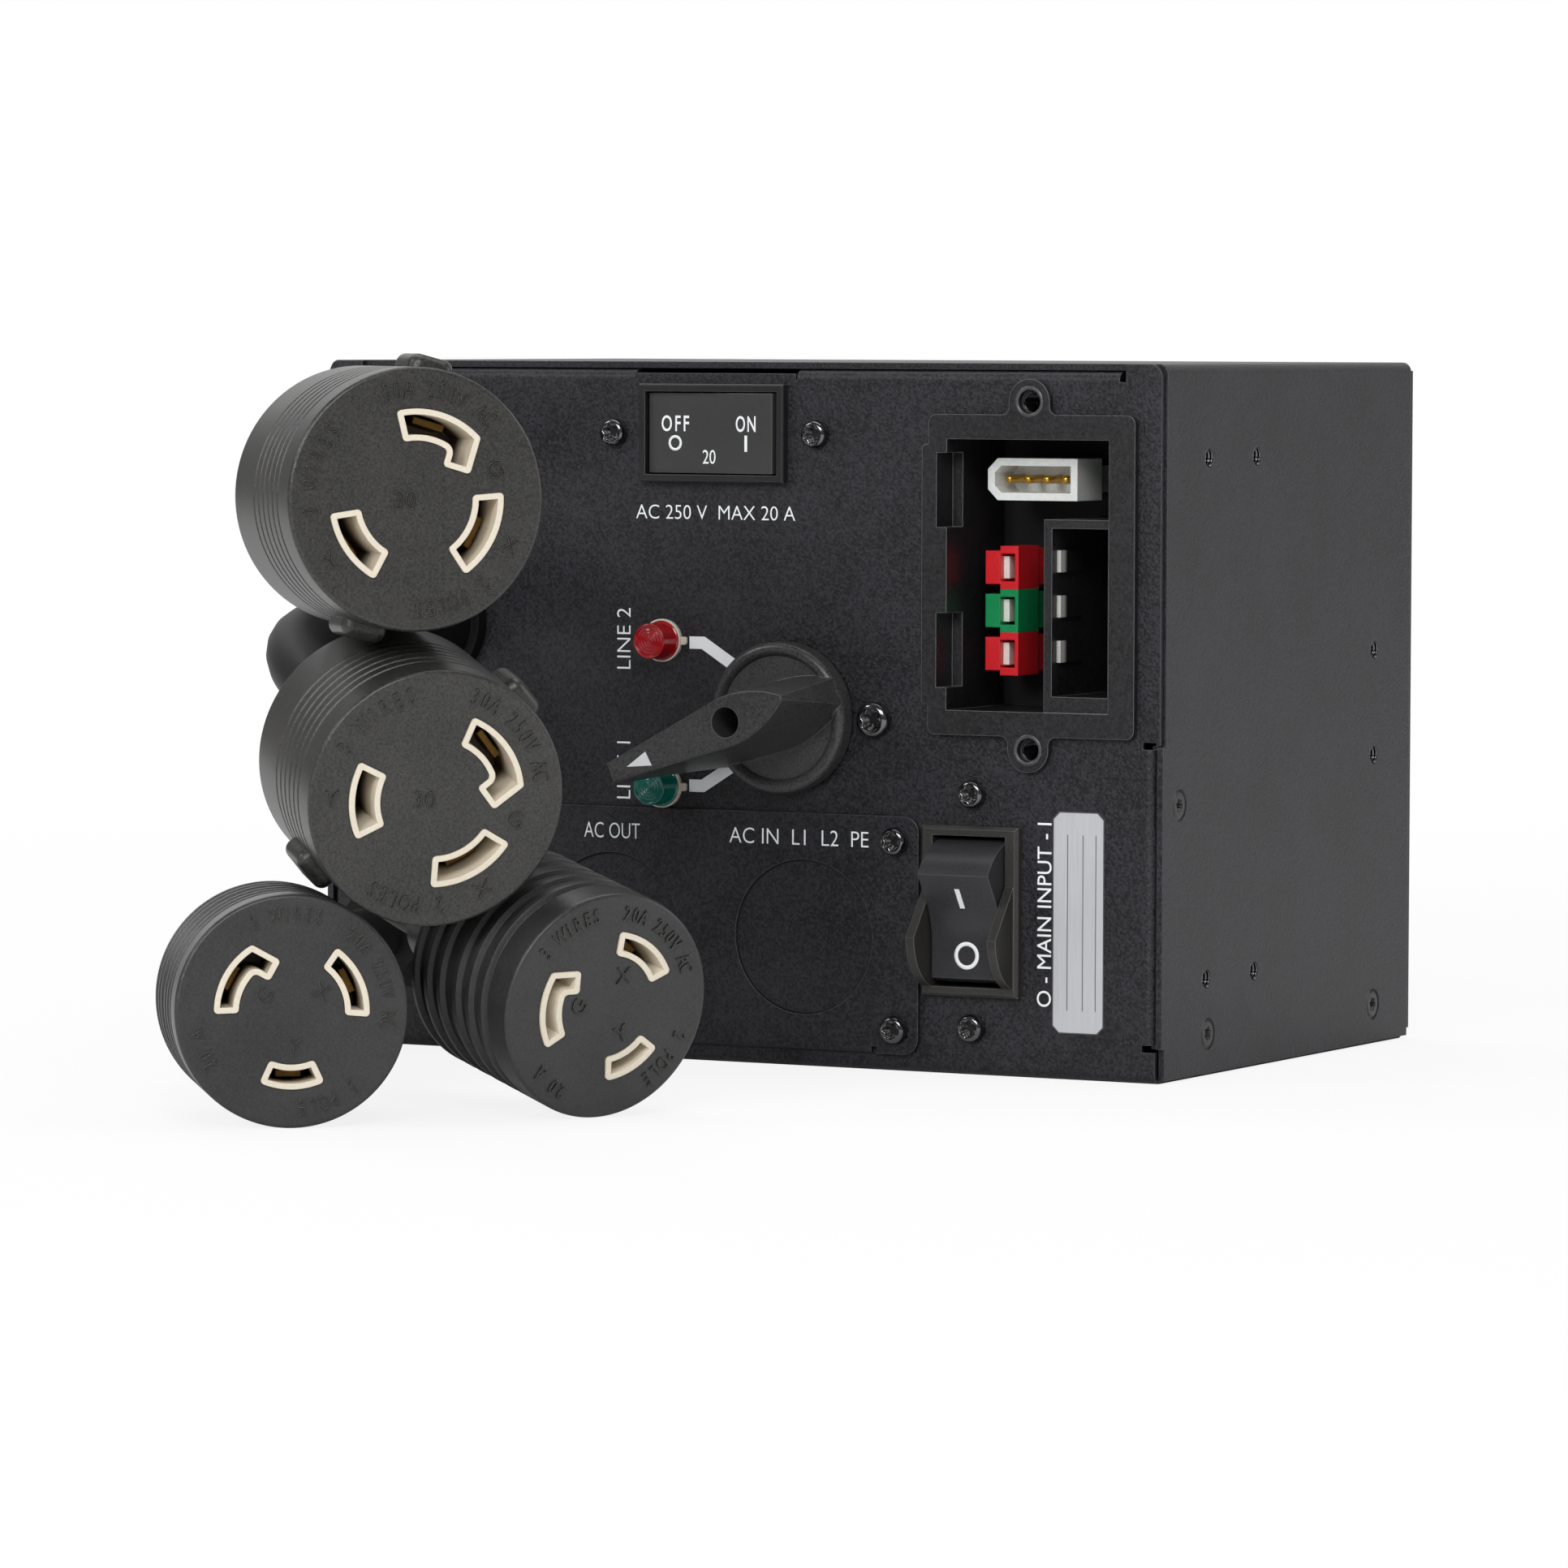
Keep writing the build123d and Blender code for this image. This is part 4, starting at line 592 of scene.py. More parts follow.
def join_meshes(name: str, meshes: list[Mesh]) -> Mesh:
    """Puts several meshes into one.

    Args:
        name: The new mesh's name.
        meshes: Meshes to add, which are removed afterwards.

    Returns:
        One mesh with all their vertices and faces.
    """
    points, faces, smooth = [], [], []
    start = 0
    for mesh in meshes:
        flat = np.zeros(len(mesh.vertices) * 3)
        mesh.vertices.foreach_get("co", flat)
        points += flat.reshape(-1, 3).tolist()
        faces += [[start + i for i in polygon.vertices] for polygon in mesh.polygons]
        smooth += [polygon.use_smooth for polygon in mesh.polygons]
        start += len(mesh.vertices)
        bpy.data.meshes.remove(mesh)
    made = bpy.data.meshes.new(name)
    made.from_pydata(points, [], faces)
    made.polygons.foreach_set("use_smooth", smooth)
    made.update()
    return made


def piece(
    name: str, meshes: list[Mesh], finish: Finish,
    stands_for: tuple[str, ...] = (), body: Body = Body.CHASSIS,
) -> bpy.types.Object:
    """Adds one finished piece to the object.

    Args:
        name: The piece's name.
        meshes: Its meshes, in metres in the shared frame, which are joined.
        finish: Its skin.
        stands_for: Solids that it is shown in place of.
        body: The body it moves with.

    Returns:
        The new object.
    """
    mesh = join_meshes(name, meshes)
    made = put(name, mesh)
    mesh.materials.append(finish.build())
    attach(made, body.value)
    if stands_for:
        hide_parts(*stands_for)
    log.info("%s: %d faces", name, len(mesh.polygons))
    return made


class Align(Enum):
    """Which end of a line of text its spot marks."""

    LEFT = "LEFT"
    MIDDLE = "CENTER"


def lettering(
    text: str, spot: Spot, tall: float, align: Align = Align.MIDDLE, lift: float = PRINT_LIFT,
    thick: float = PRINT_THICK, squeeze: float = 1.0, weight: float = 0.0, spacing: float = 1.0,
) -> Mesh:
    """Makes a line of letters as a mesh on a surface.

    Args:
        text: The letters.
        spot: Where they stand, at the middle of their height.
        tall: Height of a capital in millimetres.
        align: Which end of the line the spot marks.
        lift: How far the letters' back is above the surface, in millimetres.
        thick: How far they stand out from there.
        squeeze: Width of the letters as a share of the font's own.
        weight: Growth of each stroke, in millimetres.
        spacing: Space between letters as a share of the font's own.

    Returns:
        A mesh in metres, in the shared frame.
    """
    capital_share = 0.73
    curve = bpy.data.curves.new("letters", "FONT")
    curve.body = text
    curve.size = tall / capital_share
    curve.align_x = align.value
    curve.extrude = thick / 2
    curve.offset = weight
    curve.space_character = spacing
    curve.resolution_u = 4
    holder = put("letters", curve)
    bpy.context.view_layer.update()
    mesh = bpy.data.meshes.new_from_object(holder.evaluated_get(bpy.context.evaluated_depsgraph_get()))
    bpy.data.objects.remove(holder)
    bpy.data.curves.remove(curve)
    centring = Matrix.Translation((0, -tall / 2, lift + thick / 2)) @ Matrix.Diagonal((squeeze, 1, 1, 1))
    mesh.transform(spot.matrix() @ centring)
    return mesh


def plate(outline: np.ndarray, spot: Spot, lift: float = PRINT_LIFT, thick: float = PRINT_THICK) -> Mesh:
    """Makes a thin flat shape from its outline.

    Args:
        outline: Points of the outline in millimetres in the spot's plane, anticlockwise.
        spot: Where it lies.
        lift: How far its back is above the surface.
        thick: Its thickness.

    Returns:
        A closed mesh in metres.
    """
    count = len(outline)
    levels = np.array([lift, lift + thick])
    points = np.concatenate([np.column_stack([outline, np.full(count, level)]) for level in levels])
    ring = np.arange(count)
    sides = np.column_stack([ring, np.roll(ring, -1), np.roll(ring, -1) + count, ring + count]).tolist()
    caps = [ring[::-1].tolist(), (ring + count).tolist()]
    mesh = bpy.data.meshes.new("plate")
    mesh.from_pydata(points.tolist(), [], sides + caps)
    mesh.transform(spot.matrix())
    return mesh


def ring_plate(radius: float, stroke: float, spot: Spot) -> Mesh:
    """Makes a printed ring: a closed band whose section is a thin rectangle carried round a circle.

    Args:
        radius: Middle radius of the stroke in millimetres.
        stroke: Width of the stroke.
        spot: Its centre and plane.

    Returns:
        A closed mesh in metres.
    """
    reach = radius + np.array([-0.5, 0.5, 0.5, -0.5, -0.5]) * stroke
    rise = PRINT_LIFT + np.array([0.0, 0.0, 1.0, 1.0, 0.0]) * PRINT_THICK
    return revolved("ring", reach[:, None], rise[:, None], circle(64), spot)


def rectangle(left: float, bottom: float, right: float, top: float) -> np.ndarray:
    """The four corners of an upright rectangle, anticlockwise."""
    return np.array([(left, bottom), (right, bottom), (right, top), (left, top)])


PANEL_ALONG = (1.0, 0.0, 0.0)
PANEL_UP = (0.0, 0.0, 1.0)
PANEL_OUT = (0.0, -1.0, 0.0)


def on_panel(x: float, z: float, y: float = FRONT_Y, upright: bool = False) -> Spot:
    """A spot on the front panel, or on a plane in front of it, with text running right or upwards."""
    return Spot((x, y, z), PANEL_UP if upright else PANEL_ALONG, PANEL_OUT)


@dataclass(frozen=True)
class PrintedText:
    """A printed line of text: its place on the panel, or on a plane in front of it, and its letters."""

    text: str
    x: float
    z: float
    tall: float
    upright: bool = False
    y: float = FRONT_Y
    align: Align = Align.MIDDLE
    squeeze: float = 1.0
    weight: float = -0.035

    def mesh(self) -> Mesh:
        """Makes the letters."""
        spot = on_panel(self.x, self.z, self.y, self.upright)
        return lettering(self.text, spot, self.tall, self.align, squeeze=self.squeeze, weight=self.weight)


PRINTED = (
    PrintedText("AC 250 V  MAX 20 A", -3.9, 102.2, 2.8, squeeze=0.98),
    PrintedText("LINE 2", -23.4, 78.3, 3.1, upright=True),
    PrintedText("LINE 1", -23.4, 48.1, 3.1, upright=True, align=Align.LEFT),
    PrintedText("AC OUT", -25.2, 42.6, 3.1, y=PLATE_Y, squeeze=0.75),
    PrintedText("AC IN  L1  L2  PE", 14.4, 42.6, 3.1, y=PLATE_Y, squeeze=0.94),
    PrintedText("O - MAIN INPUT - I", 64.4, 30.0, 3.0, upright=True, squeeze=0.98, weight=0.0),
)


@dataclass
class PanelPrint:
    """White marks screen-printed on the panel and the cover plate."""

    line_width: float = 2.3
    upper_line: tuple = ((-9.3, 77.9), (-6.4, 77.9), (1.2, 73.2))
    lower_line: tuple = ((-9.3, 51.3), (-6.4, 51.3), (1.2, 56.0))

    def pointer_line(self, corners: tuple) -> Mesh:
        """Makes a bent line of even width: its corners are moved out on both sides along the mitre.

        Args:
            corners: Three points of the line's middle in millimetres.

        Returns:
            A thin mesh on the panel.
        """
        path = np.array(corners)
        step = np.diff(path, axis=0)
        step = step / np.linalg.norm(step, axis=1)[:, None]
        normal = np.column_stack([-step[:, 1], step[:, 0]])
        mitre = np.array([normal[0], normal[0] + normal[1], normal[1]])
        mitre[1] /= 1 + normal[0] @ normal[1]
        left = path + mitre * self.line_width / 2
        right = path - mitre * self.line_width / 2
        return plate(np.concatenate([right, left[::-1]]), on_panel(0, 0))

    def build(self) -> None:
        """Makes all the marks that ride on the chassis."""
        marks = [printed.mesh() for printed in PRINTED]
        marks += [self.pointer_line(line) for line in (self.upper_line, self.lower_line)]
        piece("panel_print", marks, WHITE_INK)


@dataclass
class LabelPlate:
    """A silver write-on label with cut corners beside the input switch: a border and ruled lines."""

    left: float = 66.2
    right: float = 76.6
    bottom: float = 8.5
    top: float = 48.9
    corner: float = 1.3
    corner_inset: float = 0.4
    thick: float = 0.12
    face_step: float = 0.02
    border: float = 0.22
    rule: float = 0.16
    rule_thick: float = 0.01
    rule_places: tuple[float, ...] = (69.3, 72.4, 75.0)
    rule_margin: float = 4.2

    def outline(self, inset: float) -> np.ndarray:
        """The label's eight corners, drawn in by an inset in millimetres."""
        left, right = self.left + inset, self.right - inset
        bottom, top = self.bottom + inset, self.top - inset
        cut = self.corner - inset * self.corner_inset
        return np.array([
            (left + cut, bottom), (right - cut, bottom), (right, bottom + cut), (right, top - cut),
            (right - cut, top), (left + cut, top), (left, top - cut), (left, bottom + cut),
        ])

    def build(self) -> None:
        """Makes the dark-edged base, the silver face on it and the ruled lines."""
        base = plate(self.outline(0.0), on_panel(0, 0), thick=self.thick - self.face_step)
        low, high = self.bottom + self.rule_margin, self.top - self.rule_margin
        rules = [
            plate(
                rectangle(x - self.rule, low, x, high), on_panel(0, 0),
                lift=PRINT_LIFT + self.thick, thick=self.rule_thick,
            )
            for x in self.rule_places
        ]
        piece("label_edge_and_rules", [base, *rules], LABEL_INK)
        face = plate(self.outline(self.border), on_panel(0, 0), thick=self.thick)
        piece("label_face", [face], LABEL_FOIL)


@dataclass
class BreakerMarks:
    """OFF, ON and a number printed on the breaker's rocker, whose two halves slope to the middle."""

    pivot: Point = (-3.9, FRONT_Y + 1.6, 116.8)
    tilt: float = 3.5
    face_ahead: float = 2.9
    half: float = 13.4
    dish: float = 0.3
    off_at: float = -7.8
    on_at: float = 7.66
    row: float = 1.86
    tall: float = 3.0
    weight: float = 0.05
    ring: tuple[float, float] = (1.2, 0.5)
    bar: tuple[float, float, float, float] = (-0.3, -1.5, 0.3, 1.5)
    number_at: tuple[float, float] = (-0.45, -4.3)
    number_tall: float = 2.7

    def spot(self, along: float, up: float) -> Spot:
        """A spot on the rocker's face, measured from its valley and the pivot's height.

        Args:
            along: Distance from the valley in millimetres, to the right.
            up: Height above the pivot.

        Returns:
            The spot, on the half that it falls on.
        """
        middle_turn = radians(self.tilt)
        turn = middle_turn + copysign(atan(self.dish / self.half), along)
        along_way = Vector((cos(turn), -sin(turn), 0))
        back = Vector((sin(middle_turn), cos(middle_turn), 0))
        valley = Vector(self.pivot) - back * self.face_ahead
        point = valley + along_way * along + Vector((0, 0, up))
        return Spot(tuple(point), tuple(along_way), tuple(Vector((0, 0, 1)).cross(along_way) * -1))

    def build(self) -> None:
        """Makes the marks, which ride on the rocker."""
        off, on = self.spot(self.off_at, self.row), self.spot(self.on_at, self.row)
        marks = [
            lettering("OFF", off, self.tall, squeeze=0.72, weight=self.weight, spacing=1.3),
            lettering("ON", on, self.tall, squeeze=0.66, weight=self.weight, spacing=1.2),
            ring_plate(*self.ring, self.spot(self.off_at, -self.row)),
            plate(rectangle(*self.bar), self.spot(self.on_at, -self.row)),
            lettering("20", self.spot(*self.number_at), self.number_tall, squeeze=0.8),
        ]
        piece("breaker_print", marks, WHITE_INK, body=Body.BREAKER)


@dataclass
class SwitchMarks:
    """I and O printed on the input switch's rocker."""

    pivot: Point = (50.0, FRONT_Y + 3.0, 30.1)
    tilt: float = 17.0
    middle: float = 5.8
    upper_at: float = 4.9
    lower_at: float = 6.3
    ring: tuple[float, float] = (2.15, 0.75)
    bar: tuple[float, float, float, float] = (-0.5, -2.5, 0.5, 2.5)

    def build(self) -> None:
        """Makes both marks: the I on the sloping upper half, the O on the lower half, which is upright."""
        turn = radians(self.tilt)
        ahead = Vector((0, -cos(turn), -sin(turn)))
        valley = Vector(self.pivot) + ahead * self.middle
        slope = radians(2 * self.tilt)
        up = Vector((0, -sin(slope), cos(slope)))
        upper = Spot(tuple(valley + up * self.upper_at), PANEL_ALONG, tuple(Vector(PANEL_ALONG).cross(up)))
        lower = Spot(tuple(valley - Vector((0, 0, self.lower_at))), PANEL_ALONG, PANEL_OUT)
        marks = [plate(rectangle(*self.bar), upper), ring_plate(*self.ring, lower)]
        piece("switch_print", marks, WHITE_INK, body=Body.SWITCH)


@dataclass
class HandleMark:
    """The white triangle near the tip of the bypass handle."""

    corners: tuple = ((-9.3, 55.9), (-4.0, 56.3), (-5.4, 58.8))

    def build(self) -> None:
        """Makes the triangle on the grip's face."""
        face = on_panel(0, 0, FRONT_Y - SKIRT_GAP - GRIP_HEIGHT)
        piece("handle_mark", [plate(np.array(self.corners), face)], WHITE_INK, body=Body.HANDLE)


@dataclass
class ScrewHeads:
    """Pan-head screws with a six-lobe recess, in place of plain heads."""

    name: str
    stands_for: str
    places: tuple
    radius: float
    face_y: float = FRONT_Y
    rise: float = 2.1
    recess: float = 1.5
    recess_deep: float = 1.3
    lip_share: float = 1.2
    shoulder: float = 0.42
    first_turn: float = 17.0
    turn_step: float = 23.0

    def head(self, x: float, z: float, turn: float) -> Mesh:
        """Makes one head: foot, upright rim, a dome that follows a quarter ellipse, and a six-lobed recess.

        Args:
            x: Place of the screw across the panel.
            z: Height of the screw.
            turn: How far the recess is turned, in degrees.

        Returns:
            A mesh in metres.
        """
        lip = self.recess * self.lip_share
        bow = np.linspace(0, np.pi / 2, 12)
        dome_reach = lip + (self.radius - lip) * np.cos(bow)
        dome_rise = self.rise * (self.shoulder + (1 - self.shoulder) * np.sin(bow))
        profile = [(0.4 * self.radius, 0.0), (self.radius * 0.97, 0.0), (self.radius, 0.1)]
        profile += list(zip(dome_reach, dome_rise))
        deep = -self.recess_deep
        well = ((1.06, -0.01), (1.0, -0.06), (0.95, -0.14), (0.9, deep), (0.4, deep - 0.1))
        lobes = [0.0] * len(profile) + WELL_LOBES
        profile += [(self.recess * share, self.rise + down) for share, down in well]
        return turned("head", profile, on_panel(x, z, self.face_y), lobes, turn)

    def socket(self, x: float, z: float, turn: float) -> Mesh:
        """Makes a six-lobed cup of painted shade that lines one head's recess, with the arguments and return
        of head.
        """
        low = self.rise - self.recess_deep + 0.02
        brim = self.recess_deep - 0.15
        cup = ((0.3, 0.0), (0.89, 0.0), (0.945, brim), (0.93, brim + 0.01), (0.87, 0.05), (0.3, 0.06))
        profile = [(self.recess * reach, low + up) for reach, up in cup]
        lobes = [0.1, 0.17, 0.17, 0.17, 0.17, 0.1]
        return turned("socket", profile, on_panel(x, z, self.face_y), lobes, turn)

    def build(self) -> None:
        """Makes all heads of the set as one piece, and the painted shade lining their recesses as another."""
        spots = [(x, z, self.first_turn + self.turn_step * i) for i, (x, z) in enumerate(self.places)]
        heads = [self.head(*spot) for spot in spots]
        recess_shades = [self.socket(*spot) for spot in spots]
        piece(f"{self.name}_sockets", recess_shades, RECESS_SHADE)
        piece(self.name, heads, BLACK_CHROME, (self.stands_for,))


WALLS = ((1.0, WALL_X), (-1.0, -WALL_X))


def on_wall(side: float, x: float, y: float, z: float) -> Spot:
    """A spot on the right wall for a side of 1, or on the left wall for -1."""
    return Spot((x, y, z), (0.0, side, 0.0), (side, 0.0, 0.0))


@dataclass
class SideHeads:
    """Flush countersunk screws in both walls, each with a ring gap round its head and a small recess."""

    places: tuple = ((-48.3, 50.3), (-35.7, 7.8), (38.0, 7.8))
    radius: float = 2.9
    recess: float = 1.15
    first_turn: float = 11.0
    turn_step: float = 29.0

    def head(self, spot: Spot, turn: float) -> Mesh:
        """Makes one head: a cone from its tip to a sunk rim, a flat face and a six-lobed recess."""
        inwards = (
            (0.15, -0.34), (0.0, -0.26), (0.12, -0.22), (0.42, -0.2), (0.55, -0.06), (0.75, -0.04),
        )
        profile = [(1.2, -1.6), *((self.radius - by, rise) for by, rise in inwards), (1.5, -0.04)]
        well = ((1.06, -0.04), (1.0, -0.08), (0.95, -0.16), (0.9, -0.9), (0.4, -1.0))
        lobes = [0.0] * len(profile) + WELL_LOBES
        profile += [(self.recess * share, rise) for share, rise in well]
        return turned("head", profile, spot, lobes, turn)

    def build(self) -> None:
        """Makes the heads of both walls as one piece."""
        heads = [
            self.head(on_wall(side, x, y, z), self.first_turn + self.turn_step * i)
            for side, x in WALLS
            for i, (y, z) in enumerate(self.places)
        ]
        piece("side_screw_heads", heads, PAINTED_SCREW, ("cover_side_screws",))


@dataclass
class ThreadedHoles:
    """Threaded sleeves in a set of tapped holes."""

    name: str
    spots: tuple[Spot, ...]
    outer: float = 1.76
    pitch: float = 0.7
    depth: float = 3.6
    lip: float = 0.1
    root: float = 0.16
    crest: float = 0.1

    def sleeve(self, spot: Spot) -> Mesh:
        """Makes one sleeve: a closed section of an outer tube and an inner helical thread.

        The inner radius is the outer one less root, plus crest times the cosine of the turns of depth
        over pitch minus the angle round the axis.

        Args:
            spot: The hole's place.

        Returns:
            A mesh in metres.
        """
        angle = circle(48)
        rise = np.linspace(-self.lip, -self.depth, 64)
        wave = np.cos(2 * np.pi * rise[:, None] / self.pitch - angle)
        thread = self.outer - self.root + self.crest * wave
        radii = np.concatenate([thread, np.full((2, angle.size), self.outer), thread[:1]])
        rises = np.concatenate([rise, [-self.depth, -self.lip, -self.lip]])
        return revolved("sleeve", radii, rises[:, None], angle, spot)

    def build(self) -> None:
        """Makes the sleeves of the set as one piece."""
        sleeves = [self.sleeve(spot) for spot in self.spots]
        piece(self.name, sleeves, BLACK_CHROME)


@dataclass
class Eyelets:
    """Rolled rims round the two holes in the bezel's ears, with a painted highlight in their colour."""

    places: tuple = EARS
    face_y: float = FRONT_Y - 1.5
    hole: float = 2.22
    outer: float = 2.85
    rise: float = 0.16
    lift: float = 0.01

    def build(self) -> None:
        """Makes both rims: a half-ellipse section from the hole to the outer radius, carried round."""
        bow = np.linspace(0, np.pi, 13)
        middle, reach = (self.outer + self.hole) / 2, (self.outer - self.hole) / 2
        radii = np.append(middle + reach * np.cos(bow), self.outer)[:, None]
        rises = np.append(self.lift + self.rise * np.sin(bow), self.lift)[:, None]
        rims = [
            revolved("rim", radii, rises, circle(64), on_panel(x, z, self.face_y)) for x, z in self.places
        ]
        piece("ear_eyelets", rims, EYELET_ABS)


@dataclass
class LampLens:
    """A clear coloured lens on a flange, with a crisp rim and rings moulded in its face."""

    name: str
    stands_for: str
    slot: str
    finish: Finish
    z: float
    x: float = -14.8
    radius: float = 3.3
    flange: float = 3.72
    foot: float = 0.92
    height: float = 5.8
    rim: float = 0.3
    ring_pitch: float = 0.62
    ring_depth: float = 0.075
    crown: float = 0.12

    def build(self) -> None:
        """Makes the lens as a turned profile: flange, barrel, a raised rim, then a rippled face.

        The face's height falls by a cosine ripple of ring_pitch and rises towards the middle by crown
        times 1 minus the square of the share of its radius.
        """
        bend = np.linspace(0, np.pi, 13)
        rim_reach = self.radius - self.rim * (1 - np.cos(bend))
        rim_rise = self.height - self.rim + self.rim * np.sin(bend)
        inner = np.linspace(self.radius - 2 * self.rim, 0.04, 56)[1:]
        ripple = self.ring_depth * (1 - np.cos(2 * np.pi * (inner[0] - inner) / self.ring_pitch)) / 2
        face = self.height - self.rim - ripple + self.crown * (1 - (inner / inner[0]) ** 2)
        profile = [(1.0, self.foot), (self.flange - 0.05, self.foot), (self.flange, self.foot + 0.1)]
        profile += [(self.flange - 0.1, self.foot + 0.24), (self.radius + 0.12, self.foot + 0.28)]
        profile += [(self.radius, self.foot + 0.45), *zip(rim_reach, rim_rise), *zip(inner, face)]
        mesh = turned(self.name, profile, on_panel(self.x, self.z))
        piece(self.name, [mesh], self.finish, (self.stands_for,))


@dataclass
class LampTabs:
    """The small locating tab at the right of each lamp's collar."""

    places: tuple[float, float] = (BYPASS_Z + LAMP_OFFSET, BYPASS_Z - LAMP_OFFSET)
    left: float = -10.85
    right: float = -9.7
    half: float = 0.75
    thick: float = 0.7

    def build(self) -> None:
        """Makes both tabs with their outer corners cut."""
        cut = 0.25
        outline = np.array([
            (self.left, -self.half), (self.right - cut, -self.half), (self.right, cut - self.half),
            (self.right, self.half - cut), (self.right - cut, self.half), (self.left, self.half),
        ])
        tabs = [plate(outline, on_panel(0, z), thick=self.thick) for z in self.places]
        piece("lamp_tabs", tabs, PALE_COLLAR)


@dataclass
class KnockoutShadowRings:
    """A painted shadow: a thin dark ring at the foot of each knock-out's step."""

    places: tuple = ((-25.4, 24.1), (15.4, 24.1))
    sunk: float = 0.45
    radius: float = 14.1
    stroke: float = 0.36

    def build(self) -> None:
        """Makes both shadow rings as one piece."""
        face_y = PLATE_Y + self.sunk
        rings = [ring_plate(self.radius, self.stroke, on_panel(x, z, face_y)) for x, z in self.places]
        piece("knockout_shadow_rings", rings, KNOCKOUT_SHADOW)


@dataclass(frozen=True)
class FaceLayout:
    """Where one size of receptacle has its letters.

    Arcs are text, angle from the key and degrees from letter to letter. Letters are the letter, its
    angle from the key, its distance from the middle and its further turn.
    """

    slot: str
    tall: float
    reach: float
    arcs: tuple[tuple[str, float, float], ...]
    letters: tuple[tuple[str, float, float, float], ...]
    middle: str = ""


LAYOUTS = {
    Size.LARGE: FaceLayout(
        "connector_shell", 3.0, 18.9,
        (("30A 250V AC", 33, 6.0), ("3 WIRES", 113, 7.4), ("2 POLES", -123, 6.4)),
        (("G", -53, 14.9, 90), ("X", -98, 18.4, 90), ("Y", 141, 18.4, -90)), "30",
    ),
    Size.SMALL: FaceLayout(
        "rubber_shell", 2.7, 16.7,
        (("20A 250V AC", -99, 6.0), ("3 WIRES", -38, 6.6), ("2 POLE", -202, 6.6), ("20 A", 62, 6.6)),
        (("G", -3, 5.6, -20), ("X", -118, 6.2, 30), ("Y", 124, 6.0, 170)),
    ),
}


@dataclass
class ReceptacleFace:
    """Raised letters on one receptacle's face: terminal letters by the slots and ratings on arcs."""

    number: int
    size: Size
    centre: Point
    azimuth: float
    elevation: float
    key: float
    letter_tall: float = 3.0
    middle_reach: float = 2.0
    thick: float = 0.36
    weight: float = 0.02
    squeeze: float = 0.66

    def spot(self, turn: float, reach: float, lean: float = 0.0) -> Spot:
        """A spot on the face.

        Args:
            turn: Angle from the face's level direction, in degrees.
            reach: Distance from the middle in millimetres.
            lean: Further turn of the letter, in degrees.

        Returns:
            The spot, with text running clockwise round the face.
        """
        az, el = radians(self.azimuth), radians(self.elevation)
        out = Vector((sin(az) * cos(el), -cos(az) * cos(el), sin(el)))
        across = Vector((cos(az), sin(az), 0))
        up = out.cross(across)
        angle = radians(turn)
        away = across * cos(angle) + up * sin(angle)
        heading = angle - pi / 2 + radians(lean)
        along = across * cos(heading) + up * sin(heading)
        return Spot(tuple(Vector(self.centre) + away * reach), tuple(along), tuple(out))

    def raised(self, text: str, spot: Spot, tall: float, squeeze: float = 1.0) -> Mesh:
        """Makes letters that stand on the face, with the arguments and return of lettering."""
        return lettering(text, spot, tall, lift=0.0, thick=self.thick, squeeze=squeeze, weight=self.weight)

    def arc(self, text: str, start: float, step: float) -> list[Mesh]:
        """Sets letters one by one round an arc.

        Args:
            text: The letters.
            start: Angle of the first one in degrees.
            step: Degrees from one letter to the next, clockwise.

        Returns:
            One mesh for each letter.
        """
        layout = LAYOUTS[self.size]
        return [
            self.raised(letter, self.spot(start - i * step, layout.reach), layout.tall, self.squeeze)
            for i, letter in enumerate(text)
            if letter != " "
        ]

    def dress_core(self) -> None:
        """Gives the face's core its cream skin, with painted shade that darkens it in the depth of the slots.
        """
        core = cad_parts[f"connector_core_{self.number}"]
        skin = DepthShadedFinish(
            f"cream_thermoset_painted_shade_{self.number}", CREAM, CREAM_LIGHT, 0.4,
            grain=0.5, grain_depth=0.006, edge=0.3, centre=self.centre, out=tuple(self.spot(0, 0).out),
        )
        dress(core, skin)

    def build(self) -> None:
        """Makes the letters of this face."""
        self.dress_core()
        layout = LAYOUTS[self.size]
        marks = [mesh for text, turn, step in layout.arcs for mesh in self.arc(text, self.key + turn, step)]
        if layout.middle:
            marks.append(self.raised(layout.middle, self.spot(180, self.middle_reach, -90), self.letter_tall))
        for letter, turn, reach, lean in layout.letters:
            marks.append(self.raised(letter, self.spot(self.key + turn, reach, lean), self.letter_tall))
        made = piece(f"face_letters_{self.number}", marks, FACE_LETTERS)
        Cord.extras[self.number] = made


@dataclass
class Cord:
    """One lead from its gland to its receptacle, a smooth line through the route's points."""

    number: int
    diameter: float
    length: float
    route: tuple
    extras: ClassVar[dict[int, bpy.types.Object]] = {}

    def build(self) -> None:
        curve = bpy.data.curves.new(f"lead_{self.number}", "CURVE")
        curve.dimensions = "3D"
        curve.bevel_depth = self.diameter / 2 * MM
        curve.bevel_resolution = 6
        curve.resolution_u = 16
        line = curve.splines.new("NURBS")
        line.points.add(len(self.route) - 1)
        points = np.column_stack([np.array(self.route) * MM, np.ones(len(self.route))])
        line.points.foreach_set("co", points.ravel())
        line.order_u = 3
        line.use_endpoint_u = True
        curve.materials.append(CORD_RUBBER.build())
        lead = put(f"lead_{self.number}", curve)
        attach(lead, Body.CHASSIS.value)
        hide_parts(f"cord_{self.number}")
        log.info("lead_%d: %d points", self.number, len(self.route))


STUDIO_MIDDLE = (0.0, -0.08, 0.06)


